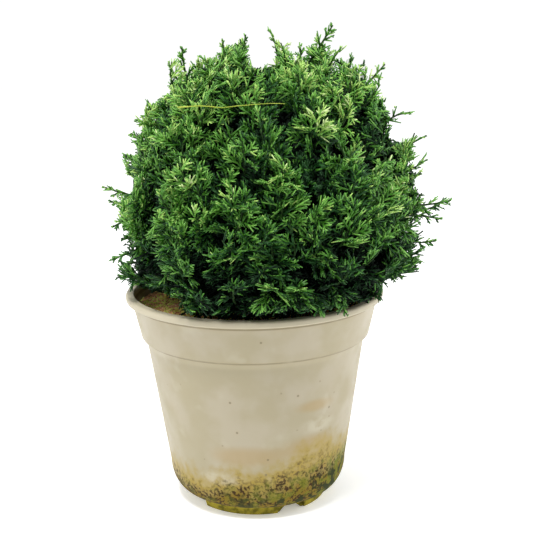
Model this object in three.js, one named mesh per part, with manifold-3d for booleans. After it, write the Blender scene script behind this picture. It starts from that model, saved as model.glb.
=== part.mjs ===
// A dwarf conifer with a rounded crown, growing in a moulded nursery pot filled with compost.
// Millimetres, +Z up. The origin is at the centre of the pot's underside, and the pot's axis is Z.
// The front of the plant looks along -Y.
//
// The pot is one turned shell. The trunk rises from the compost, and tapering boughs leave it at
// staggered heights. Each bough carries one mass of foliage: a small core, with sprays of needles that
// grow out of it by a seeded rule and reach a common outline, the crown's envelope.
import * as THREE from "three";
import { mergeVertices } from "three/addons/utils/BufferGeometryUtils.js";
import Module from "manifold-3d";

const wasm = await Module();
wasm.setup();

// ---- Driving dimensions ----

const GAP = 0.3; // between neighbouring solids
const ROUND_SIDES = 40; // facets round the pot and the compost
const SLIVER = 0.1; // details smaller than this are merged into their neighbours
const THINNEST_FACE = 0.0008; // a joint that leaves a thinner face isn't made
const GRID = 0.01; // vertices of joined solids lie on this grid

const POT = {
  rimRadius: 120,
  height: 200,
  wall: 2.4,
  lipDrop: 7.5, // from the rim's top to where the lip leaves the collar
  lipInner: 113,
  collarTopRadius: 114.3,
  collarBottomRadius: 106.8,
  collarBottom: 159.5,
  stepHeight: 7, // of the step under the collar
  bodyTopRadius: 101.6,
  bodyBottomRadius: 83.9,
  bodyBottom: 36,
  ringRadius: 66.5,
  ringDraft: 2,
  ringHeight: 9.3,
  ringWall: 4.5,
  floorUnderside: 6.2,
  floorThickness: 2.6,
  padRadius: 16, // the pad in the middle of the underside, as low as the foot ring
};

const NOTCH = { count: 4, first: -62, width: 28, height: 7 }; // cut-outs in the foot ring
const DRAIN = { count: 4, first: -62, radius: 6, circle: 44 }; // holes in the floor

const SOIL = { level: 188, crownRise: 3, flatRadius: 24, edgeDrop: 2 };

const TRUNK = {
  footRadius: 15,
  flareHeight: 9,
  radius: 8.5,
  tipRadius: 4,
  tip: 336,
  leanX: 10, // sideways travel from foot to tip
  leanY: -2,
  sides: 10,
  steps: 9,
};

const BOUGH = { baseRadius: 3.9, tipRadius: 2.6, sides: 7, steps: 4, stemSteps: 2, lift: 2 };

const CROWN = {
  centre: new THREE.Vector3(15, 0, 250),
  across: 144, // reach sideways
  up: 182, // reach to the top
  down: 88,
  squareness: 2.4, // 2 is an ellipsoid, more is boxier
  unevenness: 0.035, // slow waves in the outline
  crease: 0.11, // how far the outline dips between two masses
  creaseWidth: 22,
};

// Rings of foliage masses, from the skirt to the top: where their middles are, and where their boughs
// leave the trunk. Azimuths are in degrees from +X towards +Y.
const RINGS = [
  { name: "skirt", count: 5, firstAzimuth: 262, radius: 84, height: 226, fork: 206, stagger: 4 },
  { name: "waist", count: 6, firstAzimuth: 250, radius: 90, height: 290, fork: 258, stagger: 7 },
  { name: "shoulder", count: 4, firstAzimuth: 215, radius: 57, height: 345, fork: 292, stagger: 6 },
];
const TOP_MASS = { name: "crown_top", x: 13, height: 375 };

// A mass's core fills most of its space.
const CORE = {
  cover: 21, // how deep it lies under the envelope
  lumpiness: 4,
  seam: 2.5, // kept from the planes between masses
  trunkRoom: 30, // kept from the trunk's middle
  ground: 5, // kept above the compost and the rim
  detail: 2,
};

const SPRAY = {
  candidates: 290, // dealt evenly over all directions, and thinned where the outline is near
  fullReach: 190, // the reach at which none are thinned out
  seed: 20417,
  lowest: -0.42, // sine of the lowest direction they are dealt to
  depth: 42, // from the tip to the root, measured straight inwards
  elbow: 0.4, // where the curve bends, as a share of the depth
  reachJitter: 0.03,
  sweep: 0.5, // how far the tip swings sideways, as a share of the depth
  halfWidth: 0.34, // as a share of the length
  ridge: 1.6, // half the thickness along the middle
  rollJitter: 0.6,
  clearance: 0.25, // kept from the planes between masses
};

// The edge of a spray's blade from root to tip, in shares of its length and of its half width, and the
// stations of the ridge along its middle. An edge point with a turn hands over to the next station.
const BLADE = {
  edge: [
    { x: 0, y: 0.16 },
    { x: 0.6, y: 1 },
    { x: 0.55, y: 0.27, turn: true },
    { x: 0.86, y: 0.62 },
  ],
  ridge: [0.34, 0.7],
};

// The tips of long shoots that stand out of the outline.
const SHOOTS = [
  [183, 4, 276],
  [177, -12, 269],
  [171, -9, 236],
  [157, -24, 219],
  [145, -34, 205],
  [164, 14, 312],
  [159, -8, 337],
  [125, 14, 403],
  [108, 22, 396],
  [88, 10, 416],
  [71, -9, 440],
  [20, 6, 434],
  [-4, -6, 430],
  [-59, -22, 422],
  [-72, -16, 408],
  [-136, -12, 299],
  [-129, -2, 242],
  [-128, -12, 230],
  [25, 158, 300],
  [66, 84, 405],
  [-84, 116, 236],
  [112, 104, 322],
];
const SHOOT = { sweep: 0.1, width: 0.5, depth: 64 };

const COLOURS = {
  pot: { color: 0xbdb39a, roughness: 0.55 },
  soil: { color: 0x3a2a1d, roughness: 1 },
  bark: { color: 0x5b4534, roughness: 0.9 },
  foliage: { color: 0x3d7a2a, roughness: 0.7 },
};

// ---- Small helpers ----

const radians = THREE.MathUtils.degToRad;
const clamp = THREE.MathUtils.clamp;
const lerp = THREE.MathUtils.lerp;
const UP = new THREE.Vector3(0, 0, 1);

// A repeatable source of numbers from 0 to 1.
function seededRandom(seed) {
  let state = seed >>> 0;
  return () => {
    state = (Math.imul(state, 1664525) + 1013904223) >>> 0;
    return state / 2 ** 32;
  };
}

function onCircle(radius, azimuth, z) {
  return new THREE.Vector3(radius * Math.cos(radians(azimuth)), radius * Math.sin(radians(azimuth)), z);
}

function meshGeometry(points, corners) {
  const geometry = new THREE.BufferGeometry();
  geometry.setAttribute("position", new THREE.BufferAttribute(new Float32Array(points), 3));
  geometry.setIndex(corners);
  return geometry;
}

// A three.js geometry as a solid, with shared vertices merged and collapsed faces dropped.
function solid(geometry) {
  const bare = geometry.clone();
  bare.deleteAttribute("normal");
  bare.deleteAttribute("uv");
  const merged = mergeVertices(bare, 1e-3);
  const corners = merged.index.array;
  const kept = [];
  for (let i = 0; i < corners.length; i += 3) {
    const [a, b, c] = [corners[i], corners[i + 1], corners[i + 2]];
    if (a !== b && b !== c && c !== a) kept.push(a, b, c);
  }
  return new wasm.Manifold(
    new wasm.Mesh({
      numProp: 3,
      vertProperties: merged.attributes.position.array,
      triVerts: new Uint32Array(kept),
    }),
  );
}

// The largest body of a solid. Loose scraps and sealed hollows are separate bodies, and are left out.
function mainBody(made) {
  return made.decompose().reduce((a, b) => (b.volume() > a.volume() ? b : a));
}

// Whether each edge has just two faces once near vertices are merged, and no face is a sliver.
function isClean(made) {
  const merged = mergeVertices(geometryOf(made), 1e-3);
  const position = merged.getAttribute("position");
  const corners = merged.index.array;
  const faces = new Map();
  const triangle = new THREE.Triangle();
  for (let i = 0; i < corners.length; i += 3) {
    const face = corners.slice(i, i + 3);
    triangle.setFromAttributeAndIndices(position, ...face);
    const [a, b, c] = [triangle.a, triangle.b, triangle.c];
    const longest = Math.max(a.distanceTo(b), b.distanceTo(c), c.distanceTo(a));
    if ((2 * triangle.getArea()) / longest < THINNEST_FACE) return false;
    for (let k = 0; k < 3; k++) {
      const ends = [face[k], face[(k + 1) % 3]].sort((m, n) => m - n).join();
      faces.set(ends, (faces.get(ends) ?? 0) + 1);
    }
  }
  return [...faces.values()].every((count) => count === 2);
}

// One body with no pocket that closes when near points are merged. null if its surface isn't clean
// even when details as large as the coarsest are merged.
function settled(made, coarsest = SLIVER) {
  for (let detail = SLIVER; detail <= coarsest; detail *= 1.5) {
    let body = mainBody(made).simplify(detail);
    for (let pass = 0; pass < 2; pass++) body = mainBody(solid(geometryOf(body)));
    if (isClean(body)) return body;
  }
  return null;
}

function geometryOf(made) {
  const mesh = made.getMesh();
  const points = [];
  for (let i = 0; i < mesh.numVert; i++) {
    for (const value of mesh.vertProperties.subarray(i * mesh.numProp, i * mesh.numProp + 3)) {
      points.push(Math.round(value / GRID) * GRID);
    }
  }
  return meshGeometry(points, [...mesh.triVerts]);
}

// A profile of [radius, height] pairs turned about Z.
function turned(profile) {
  const points = profile.map(([radius, height]) => new THREE.Vector2(radius, height));
  return solid(new THREE.LatheGeometry(points, ROUND_SIDES).rotateX(Math.PI / 2));
}

// A closed tapering limb along a part of a curve. radiusAt takes the share of the way along the curve.
// Its end faces are square to the curve, or level on an upright limb.
function limb(curve, radiusAt, { sides, steps, from = 0, to = 1 }) {
  const points = [];
  const corners = [];
  const upright = Math.abs(curve.getTangent(0.5).z) > 0.9;
  const reference = upright ? new THREE.Vector3(1, 0, 0) : UP;
  for (let i = 0; i <= steps; i++) {
    const t = lerp(from, to, i / steps);
    const along = upright ? UP.clone() : curve.getTangent(t);
    const u = new THREE.Vector3().crossVectors(reference, along).normalize();
    const v = new THREE.Vector3().crossVectors(along, u);
    for (let k = 0; k < sides; k++) {
      const turn = (2 * Math.PI * k) / sides;
      const point = curve.getPoint(t).addScaledVector(u, radiusAt(t) * Math.cos(turn));
      points.push(...point.addScaledVector(v, radiusAt(t) * Math.sin(turn)));
    }
  }
  for (let i = 0; i < steps; i++) {
    for (let k = 0; k < sides; k++) {
      const a = i * sides + k;
      const b = i * sides + ((k + 1) % sides);
      corners.push(a, b, b + sides, a, b + sides, a + sides);
    }
  }
  const last = steps * sides;
  for (let k = 1; k < sides - 1; k++) {
    corners.push(0, k + 1, k, last, last + k, last + k + 1);
  }
  return solid(meshGeometry(points, corners));
}

// ---- The pot and the compost ----

// The rounded lower corner, as a quarter of an ellipse from the foot ring up to the wall.
function cornerPoint(turn, inset = 0) {
  const start = POT.ringRadius + 1.5;
  const reach = POT.bodyBottomRadius - start;
  return [
    start + reach * Math.sin(turn) - inset,
    POT.bodyBottom - (POT.bodyBottom - POT.ringHeight) * Math.cos(turn) + inset,
  ];
}

// The pot's inside from the edge of the floor up to the rim.
function potInside() {
  return [
    [POT.ringRadius - 1, POT.floorUnderside + POT.floorThickness],
    cornerPoint(0.75, POT.wall),
    [POT.bodyBottomRadius - POT.wall, POT.bodyBottom],
    [POT.bodyTopRadius - POT.wall, POT.collarBottom - POT.stepHeight],
    [POT.collarBottomRadius - POT.wall, POT.collarBottom + 1],
    [POT.collarTopRadius - POT.wall, POT.height - POT.lipDrop],
  ];
}

function potSolid() {
  const floorTop = POT.floorUnderside + POT.floorThickness;
  const lipRoot = POT.height - POT.lipDrop;
  let pot = turned([
    [0, 0],
    [POT.padRadius, 0],
    [POT.padRadius + 1, POT.floorUnderside],
    [POT.ringRadius - POT.ringWall - 1, POT.floorUnderside],
    [POT.ringRadius - POT.ringWall, 0],
    [POT.ringRadius - POT.ringDraft, 0],
    [POT.ringRadius, POT.ringHeight - 0.5],
    cornerPoint(0),
    cornerPoint(0.5),
    cornerPoint(1),
    [POT.bodyBottomRadius, POT.bodyBottom],
    [POT.bodyTopRadius, POT.collarBottom - POT.stepHeight],
    [POT.collarBottomRadius, POT.collarBottom],
    [POT.collarTopRadius, lipRoot],
    [POT.rimRadius - 1, lipRoot + 1.3],
    [POT.rimRadius, lipRoot + 2.3],
    [POT.rimRadius, POT.height - 1.5],
    [POT.rimRadius - 1.6, POT.height],
    [POT.lipInner, POT.height],
    [POT.lipInner - 0.9, POT.height - 1.5],
    ...potInside().reverse(),
    [0, floorTop],
  ]);
  for (let i = 0; i < NOTCH.count; i++) {
    const notch = new THREE.BoxGeometry(20, NOTCH.width, 2 * NOTCH.height);
    notch.translate(POT.ringRadius - POT.ringWall + 9, 0, 0);
    pot = pot.subtract(solid(notch.rotateZ(radians(NOTCH.first + (360 / NOTCH.count) * i))));
  }
  for (let i = 0; i < DRAIN.count; i++) {
    const drain = new THREE.CylinderGeometry(DRAIN.radius, DRAIN.radius, 30, 10).rotateX(Math.PI / 2);
    drain.translate(DRAIN.circle, 0, 0);
    pot = pot.subtract(solid(drain.rotateZ(radians(DRAIN.first + (360 / DRAIN.count) * i))));
  }
  return mainBody(pot);
}

// The compost fills the pot. It is level where the trunk stands, and a little lower at the wall.
function soilSolid() {
  const sides = potInside().map(([radius, z]) => [radius - GAP, z + GAP]);
  const collarBase = sides[sides.length - 2];
  const collarTop = sides.pop();
  const edge = SOIL.level - SOIL.edgeDrop;
  const share = (edge - collarBase[1]) / (collarTop[1] - collarBase[1]);
  const edgeRadius = lerp(collarBase[0], collarTop[0], share);
  return turned([
    [0, sides[0][1]],
    ...sides,
    [edgeRadius, edge],
    [0.8 * edgeRadius, SOIL.level],
    [SOIL.flatRadius, SOIL.level + SOIL.crownRise],
    [0, SOIL.level + SOIL.crownRise],
  ]);
}

// ---- The trunk and the boughs ----

const groundLevel = SOIL.level + SOIL.crownRise + GAP;
const trunkTop = new THREE.Vector3(TRUNK.leanX, TRUNK.leanY, TRUNK.tip);
const trunkLine = new THREE.CubicBezierCurve3(
  new THREE.Vector3(0, 0, groundLevel),
  new THREE.Vector3(0, 0, groundLevel + 50),
  trunkTop.clone().setZ(TRUNK.tip - 50),
  trunkTop,
);

function trunkRadius(t) {
  const height = t * (TRUNK.tip - groundLevel);
  const flare = (TRUNK.footRadius - TRUNK.radius) * Math.exp(-height / TRUNK.flareHeight);
  return lerp(TRUNK.radius, TRUNK.tipRadius, t) + flare;
}

function trunkSolid(grown = 0) {
  return limb(trunkLine, (t) => trunkRadius(t) + grown, TRUNK);
}

// A bough runs from the trunk's middle to the middle of its mass. It ends short of the mass, and the
// mass's own stem goes on from there.
function boughLine(mass) {
  const elbow = mass.fork.clone().lerp(mass.middle, 0.5).setZ(mass.fork.z + BOUGH.lift);
  return new THREE.QuadraticBezierCurve3(mass.fork, elbow, mass.middle);
}

// The share of its line at which a bough ends, a little way outside the core.
function boughEnd(mass) {
  const line = boughLine(mass);
  let t = 0.1;
  while (!insideCore(mass, line.getPoint(t + 4 / line.getLength()))) t += 0.01;
  return t;
}

function boughSolid(mass, grown = 0) {
  const { sides, steps } = BOUGH;
  const to = boughEnd(mass);
  const radius = (t) => lerp(BOUGH.baseRadius, BOUGH.tipRadius, t / to) + grown;
  return limb(boughLine(mass), radius, { sides, steps, to });
}

function stemSolid(mass) {
  const { sides, stemSteps: steps, tipRadius } = BOUGH;
  if (!mass.fork) {
    const foot = trunkTop.clone().addScaledVector(UP, GAP);
    const upward = new THREE.LineCurve3(foot, mass.middle.clone().setX(foot.x).setY(foot.y));
    return limb(upward, (t) => lerp(TRUNK.tipRadius, tipRadius, t), { sides, steps });
  }
  const line = boughLine(mass);
  const from = boughEnd(mass) + GAP / line.getLength();
  return limb(line, () => tipRadius, { sides, steps, from });
}

// ---- The crown ----

const masses = RINGS.flatMap((ring) =>
  Array.from({ length: ring.count }, (_, i) => {
    const middle = onCircle(ring.radius, ring.firstAzimuth + (360 / ring.count) * i, ring.height);
    middle.x += CROWN.centre.x;
    const forkHeight = ring.fork + (i % 2 ? ring.stagger : -ring.stagger);
    const fork = trunkLine.getPoint((forkHeight - groundLevel) / (TRUNK.tip - groundLevel));
    return { name: `${ring.name}_${i + 1}`, middle, fork };
  }),
);
masses.push({ name: TOP_MASS.name, middle: new THREE.Vector3(TOP_MASS.x, 0, TOP_MASS.height), fork: null });

// How far a point lies inside a mass's own space: its distance to the nearest plane midway between
// that mass and another.
function roomIn(mass, point) {
  const rooms = masses.map((other) => {
    if (other === mass) return Infinity;
    const excess = point.distanceToSquared(other.middle) - point.distanceToSquared(mass.middle);
    return excess / (2 * mass.middle.distanceTo(other.middle));
  });
  return Math.min(...rooms);
}

function nearestMass(point) {
  const distance = (mass) => point.distanceToSquared(mass.middle);
  return masses.reduce((a, b) => (distance(b) < distance(a) ? b : a));
}

// The envelope's reach from the crown's centre in a direction, before the creases between masses.
function smoothReach(direction) {
  const level = Math.hypot(direction.x, direction.y) / CROWN.across;
  const upright = Math.abs(direction.z) / (direction.z > 0 ? CROWN.up : CROWN.down);
  const p = CROWN.squareness;
  const azimuth = Math.atan2(direction.y, direction.x);
  const wave = Math.sin(3 * azimuth + 1) + Math.sin(5 * azimuth + 4 * direction.z);
  return (1 + (CROWN.unevenness * wave) / 2) * (level ** p + upright ** p) ** (-1 / p);
}

// The point of the envelope in a direction, and the mass whose space it lies in.
function envelopePoint(direction) {
  const reach = smoothReach(direction);
  const point = CROWN.centre.clone().addScaledVector(direction, reach);
  const mass = nearestMass(point);
  const nearness = 1 - clamp(roomIn(mass, point) / CROWN.creaseWidth, 0, 1);
  return { point: point.addScaledVector(direction, -CROWN.crease * nearness ** 2 * reach), mass };
}

// The lowest height at a point that is clear of the compost and of the pot's rim.
function groundAt(point) {
  return Math.hypot(point.x, point.y) < POT.lipInner - 4 ? SOIL.level + SOIL.crownRise : POT.height;
}

// Whether a point lies in a mass's core.
function insideCore(mass, point) {
  const outward = point.clone().sub(CROWN.centre);
  const fromCentre = outward.length();
  outward.divideScalar(fromCentre);
  const lump = CORE.lumpiness * Math.sin(9 * outward.x + 4 * outward.z) * Math.sin(8 * outward.y + 2);
  const fromTrunk = Math.hypot(point.x - TRUNK.leanX / 2, point.y - TRUNK.leanY / 2);
  return (
    roomIn(mass, point) > CORE.seam &&
    point.z > groundAt(point) + CORE.ground &&
    (fromTrunk > CORE.trunkRoom || !mass.fork) &&
    fromCentre < envelopePoint(outward).point.distanceTo(CROWN.centre) - CORE.cover + lump
  );
}

// What the foliage keeps clear of: the basin of compost and rim, the trunk and the boughs.
function keepOut() {
  const margin = 1.5;
  const inner = POT.lipInner - margin - 1;
  const basin = turned([
    [0, POT.collarBottom],
    [POT.rimRadius + margin, POT.collarBottom],
    [POT.rimRadius + margin, POT.height + margin],
    [inner, POT.height + margin],
    [inner, SOIL.level + margin],
    [SOIL.flatRadius, SOIL.level + SOIL.crownRise + margin],
    [0, SOIL.level + SOIL.crownRise + margin],
  ]);
  const boughs = masses.filter((mass) => mass.fork).map((mass) => boughSolid(mass, 1));
  return wasm.Manifold.union([basin, trunkSolid(1), ...boughs]);
}

// Where the sprays grow: for each one its mass, the tip it reaches, the way it swings to get there,
// and its roll and width.
function sprayPlan() {
  const random = seededRandom(SPRAY.seed);
  const goldenAngle = Math.PI * (3 - Math.sqrt(5));
  const plan = SHOOTS.map((place) => {
    const tip = new THREE.Vector3(...place);
    const outward = tip.clone().sub(CROWN.centre).normalize();
    return { ...SHOOT, mass: nearestMass(tip), tip, outward, swing: UP, roll: Math.PI / 2 };
  });
  let due = 0;
  for (let i = 0; i < SPRAY.candidates; i++) {
    const height = clamp(1 - ((1 - SPRAY.lowest) * (i + random())) / SPRAY.candidates, -1, 1);
    const azimuth = goldenAngle * i + 0.5 * random();
    const level = Math.sqrt(1 - height * height);
    const outward = new THREE.Vector3(level * Math.cos(azimuth), level * Math.sin(azimuth), height);
    due += (smoothReach(outward) / SPRAY.fullReach) ** 2;
    if (due < 1) continue;
    due -= 1;
    const { point: tip, mass } = envelopePoint(outward);
    tip.addScaledVector(outward, (2 * random() - 1) * SPRAY.reachJitter * CROWN.across);
    // Sprays swing upwards on most of the crown, and hang on the skirt.
    const turn = 2 * Math.PI * random();
    const swing = new THREE.Vector3(Math.cos(turn), Math.sin(turn), height > -0.2 ? 1.1 : -0.9);
    swing.addScaledVector(outward, -swing.dot(outward)).normalize();
    tip.z = Math.max(tip.z, groundAt(tip) + CORE.ground);
    const roll = (2 * random() - 1) * SPRAY.rollJitter;
    const { sweep, depth } = SPRAY;
    plan.push({ mass, tip, outward, swing, sweep, depth, roll, width: 0.85 + 0.3 * random() });
  }
  return plan;
}

// A spray as a toothed blade with a ridge along its middle, on the curve from its root to its tip.
// slimmer scales its width and its swing.
function sprayBlade({ tip, outward, swing, sweep, depth, roll, width }, slimmer) {
  const aim = tip.clone().addScaledVector(swing, -sweep * slimmer * depth);
  const root = aim.clone().addScaledVector(outward, -depth);
  const line = new THREE.QuadraticBezierCurve3(root, aim.addScaledVector(outward, -SPRAY.elbow * depth), tip);
  const along = tip.clone().sub(root);
  const halfWidth = SPRAY.halfWidth * along.length() * width * slimmer;
  along.normalize();
  const across = new THREE.Vector3().crossVectors(outward, along);
  if (across.lengthSq() < 0.01) across.crossVectors(UP, along);
  across.normalize().applyAxisAngle(along, roll);
  const facing = new THREE.Vector3().crossVectors(along, across);

  const points = [];
  const place = (x, y, z) => {
    const point = line.getPoint(x).addScaledVector(across, y * halfWidth);
    return points.push(point.addScaledVector(facing, z)) - 1;
  };
  const end = place(1, 0, 0);
  const right = [...BLADE.edge.map(({ x, y }) => place(x, y, 0)), end];
  const left = [...BLADE.edge.map(({ x, y }) => place(x, -y, 0)), end];
  const corners = [];
  for (const face of [1, -1]) {
    const ridge = BLADE.ridge.map((x) => place(x, 0, face * SPRAY.ridge * (1.2 - x)));
    const rootFace = [ridge[0], right[0], left[0]];
    corners.push(...(face > 0 ? rootFace : rootFace.reverse()));
    for (const [chain, side] of [[right, 1], [left, -1]]) {
      const add = (a, b, c) => corners.push(...(face * side > 0 ? [a, c, b] : [a, b, c]));
      let station = 0;
      BLADE.edge.forEach(({ turn }, i) => {
        if (turn) add(ridge[station], chain[i], ridge[++station]);
        add(ridge[station], chain[i], chain[i + 1]);
      });
    }
  }
  return { points, geometry: meshGeometry(points.flatMap((point) => [...point]), corners) };
}

// The blade of a spray, or null if it would leave its mass's own space or touch anything else.
function fittedBlade(spray, slimmer, obstacles) {
  const { points, geometry } = sprayBlade(spray, slimmer);
  if (!points.every((point) => roomIn(spray.mass, point) > SPRAY.clearance)) return null;
  const blade = solid(geometry);
  return blade.intersect(obstacles).isEmpty() ? blade : null;
}

// A mass's core as a ball whose vertices are pushed out to the core's limits.
function coreSolid(mass, obstacles) {
  const ball = new THREE.IcosahedronGeometry(1, CORE.detail);
  const position = ball.getAttribute("position");
  for (let i = 0; i < position.count; i++) {
    const direction = new THREE.Vector3().fromBufferAttribute(position, i).normalize();
    let reach = 0;
    while (insideCore(mass, mass.middle.clone().addScaledVector(direction, reach + 0.5))) reach += 0.5;
    position.setXYZ(i, ...direction.multiplyScalar(reach).add(mass.middle));
  }
  return mainBody(solid(ball).subtract(obstacles));
}

// The core and stem of a mass with its sprays joined on one by one, each as wide as it can be.
function massSolid(mass, sprays, obstacles) {
  let body = settled(coreSolid(mass, obstacles).add(stemSolid(mass)), 8 * SLIVER);
  for (const spray of sprays) {
    for (const slimmer of [1, 0.8, 0.6, 0.45]) {
      const blade = fittedBlade(spray, slimmer, obstacles);
      const next = blade && settled(body.add(blade));
      if (next) {
        body = next;
        break;
      }
    }
  }
  return body;
}

// ---- Assembly ----

const group = new THREE.Group();

function addNode(name, made, { color, roughness }) {
  const material = new THREE.MeshStandardMaterial({ color, roughness, metalness: 0 });
  material.name = name;
  const mesh = new THREE.Mesh(geometryOf(made), material);
  mesh.name = name;
  group.add(mesh);
}

addNode("pot", potSolid(), COLOURS.pot);
addNode("soil", soilSolid(), COLOURS.soil);
addNode("trunk", trunkSolid(), COLOURS.bark);
const trunkClearance = trunkSolid(GAP);
for (const mass of masses.filter(({ fork }) => fork)) {
  addNode(`bough_${mass.name}`, mainBody(boughSolid(mass).subtract(trunkClearance)), COLOURS.bark);
}
const obstacles = keepOut();
const sprays = sprayPlan();
for (const mass of masses) {
  const own = sprays.filter((spray) => spray.mass === mass);
  addNode(`foliage_${mass.name}`, massSolid(mass, own, obstacles), COLOURS.foliage);
}

export default group;
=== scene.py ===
"""A dwarf conifer with a rounded crown, in a weathered nursery pot filled with compost.

Sizes in the classes are millimetres; meshes are made in metres, +Z up, in the part's own frame.
"""

import logging
import math
from dataclasses import dataclass, field
from enum import Enum
from typing import Any, Iterable, Optional, Sequence

import bmesh
import bpy
import numpy as np
from mathutils import Matrix, Vector


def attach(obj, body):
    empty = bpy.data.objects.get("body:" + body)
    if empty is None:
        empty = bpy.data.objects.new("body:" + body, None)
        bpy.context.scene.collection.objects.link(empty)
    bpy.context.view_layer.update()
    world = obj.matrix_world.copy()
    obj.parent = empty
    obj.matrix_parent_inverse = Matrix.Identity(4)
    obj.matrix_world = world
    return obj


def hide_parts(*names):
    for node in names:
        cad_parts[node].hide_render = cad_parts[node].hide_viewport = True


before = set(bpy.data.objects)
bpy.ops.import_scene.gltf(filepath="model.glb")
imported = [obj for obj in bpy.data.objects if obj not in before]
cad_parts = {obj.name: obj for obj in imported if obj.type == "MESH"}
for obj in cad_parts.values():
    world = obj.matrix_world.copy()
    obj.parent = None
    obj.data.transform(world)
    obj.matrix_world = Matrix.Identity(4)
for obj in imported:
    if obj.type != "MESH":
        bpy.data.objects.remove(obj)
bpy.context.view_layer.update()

MM = 0.001
GOLDEN_ANGLE = math.pi * (3 - math.sqrt(5))
LOG = logging.getLogger("potted_conifer")


class Slot(Enum):
    """The record's material slots."""

    POT = "pot_plastic"
    COMPOST = "compost"
    BARK = "bark"
    FOLIAGE = "foliage"


# ---- Helpers for meshes and nodes ----


def linear(colour: str) -> tuple[float, float, float, float]:
    """Turns an sRGB hex colour into Blender's linear colour.

    Args:
        colour: Six hex digits with a leading #.

    Returns:
        Red, green, blue and alpha.
    """
    parts = [int(colour[i : i + 2], 16) / 255 for i in (1, 3, 5)]
    return (*[c / 12.92 if c <= 0.04045 else ((c + 0.055) / 1.055) ** 2.4 for c in parts], 1.0)


def add_node(
    tree: bpy.types.NodeTree,
    kind: str,
    settings: Optional[dict[str, Any]] = None,
    inputs: Optional[dict[Any, Any]] = None,
    stops: Sequence[tuple[float, str]] = (),
) -> bpy.types.Node:
    """Adds a node with its settings, input values and links.

    Args:
        tree: The tree that gets the node.
        kind: The node's type.
        settings: Properties of the node.
        inputs: Socket names or numbers, with a value, a socket or a node for each.
        stops: Places and hex colours of a colour ramp.

    Returns:
        The node.
    """
    node = tree.nodes.new(kind)
    for name, value in (settings or {}).items():
        setattr(node, name, value)
    for name, value in (inputs or {}).items():
        socket = node.inputs[name]
        if isinstance(value, bpy.types.Node):
            value = value.outputs[0]
        if isinstance(value, bpy.types.NodeSocket):
            tree.links.new(value, socket)
        else:
            socket.default_value = value
    if stops:
        ramp = node.color_ramp
        while len(ramp.elements) < len(stops):
            ramp.elements.new(0.5)
        for element, (place, colour) in zip(ramp.elements, stops):
            element.position = place
            element.color = linear(colour)
    return node


def add_object(name: str, data: bpy.types.ID) -> bpy.types.Object:
    """Makes an object at the origin and links it to the scene.

    Args:
        name: Its name.
        data: The mesh, lamp or camera.

    Returns:
        The object.
    """
    made = bpy.data.objects.new(name, data)
    bpy.context.scene.collection.objects.link(made)
    return made


def mesh_piece(name: str, points: np.ndarray, faces: Iterable[Sequence[int]]) -> bpy.types.Object:
    """Makes a smooth object at the origin.

    Args:
        name: The piece's name.
        points: Vertices in millimetres.
        faces: Vertex numbers of each face, seen from outside.

    Returns:
        The object, linked to the scene.
    """
    mesh = bpy.data.meshes.new(name)
    mesh.from_pydata((np.asarray(points, float) * MM).tolist(), [], [list(map(int, f)) for f in faces])
    mesh.validate()
    mesh.shade_smooth()
    return add_object(name, mesh)


def settle(made: bpy.types.Object) -> bpy.types.Object:
    """Turns an object's modifiers into plain mesh.

    Args:
        made: The object.

    Returns:
        The same object.
    """
    bpy.context.view_layer.update()
    graph = bpy.context.evaluated_depsgraph_get()
    mesh = bpy.data.meshes.new_from_object(made.evaluated_get(graph), depsgraph=graph)
    made.modifiers.clear()
    made.data = mesh
    mesh.name = made.name
    return made


def run_tree(
    made: bpy.types.Object, tree: bpy.types.NodeTree, values: dict[str, Any]
) -> bpy.types.Object:
    """Runs a Geometry Nodes tree on an object and keeps the resulting mesh.

    Args:
        made: The object whose mesh goes in.
        tree: The tree.
        values: The tree's inputs by name.

    Returns:
        The same object.
    """
    modifier = made.modifiers.new(tree.name, "NODES")
    modifier.node_group = tree
    for item in tree.interface.items_tree:
        if item.item_type == "SOCKET" and item.in_out == "INPUT" and item.name in values:
            modifier[item.identifier] = values[item.name]
    return settle(made)


def new_geometry_tree(name: str, sockets: Sequence[tuple[str, str]]) -> bpy.types.NodeTree:
    """Makes an empty Geometry Nodes tree with a geometry input and output.

    Args:
        name: The tree's name.
        sockets: Names and socket types of its other inputs.

    Returns:
        The tree.
    """
    tree = bpy.data.node_groups.new(name, "GeometryNodeTree")
    tree.interface.new_socket("Geometry", in_out="INPUT", socket_type="NodeSocketGeometry")
    for label, kind in sockets:
        tree.interface.new_socket(label, in_out="INPUT", socket_type=kind)
    tree.interface.new_socket("Geometry", in_out="OUTPUT", socket_type="NodeSocketGeometry")
    return tree


def finish_piece(made: bpy.types.Object, nodes: Sequence[str] = ()) -> None:
    """Rides a piece on the plant's body and hides the nodes it stands for.

    Args:
        made: The piece.
        nodes: The nodes that it replaces.
    """
    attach(made, "root")
    if nodes:
        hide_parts(*nodes)
    LOG.info("%s: %d faces", made.name, len(made.data.polygons))


def unit(vectors: np.ndarray) -> np.ndarray:
    """Scales vectors to length one."""
    return vectors / np.maximum(np.linalg.norm(vectors, axis=-1, keepdims=True), 1e-12)


def bezier(controls: np.ndarray, shares: np.ndarray) -> np.ndarray:
    """Gives points on a Bezier curve of any degree.

    Args:
        controls: Control points, one row each.
        shares: Places along the curve, from 0 to 1.

    Returns:
        One point for each share.
    """
    points = np.repeat(np.asarray(controls, float)[None], len(shares), axis=0)
    while points.shape[1] > 1:
        points = points[:, :-1] + (points[:, 1:] - points[:, :-1]) * shares[:, None, None]
    return points[:, 0]


def turns(sides: int) -> np.ndarray:
    """Gives evenly spaced angles round a circle."""
    return 2 * np.pi * np.arange(sides) / sides


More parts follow.
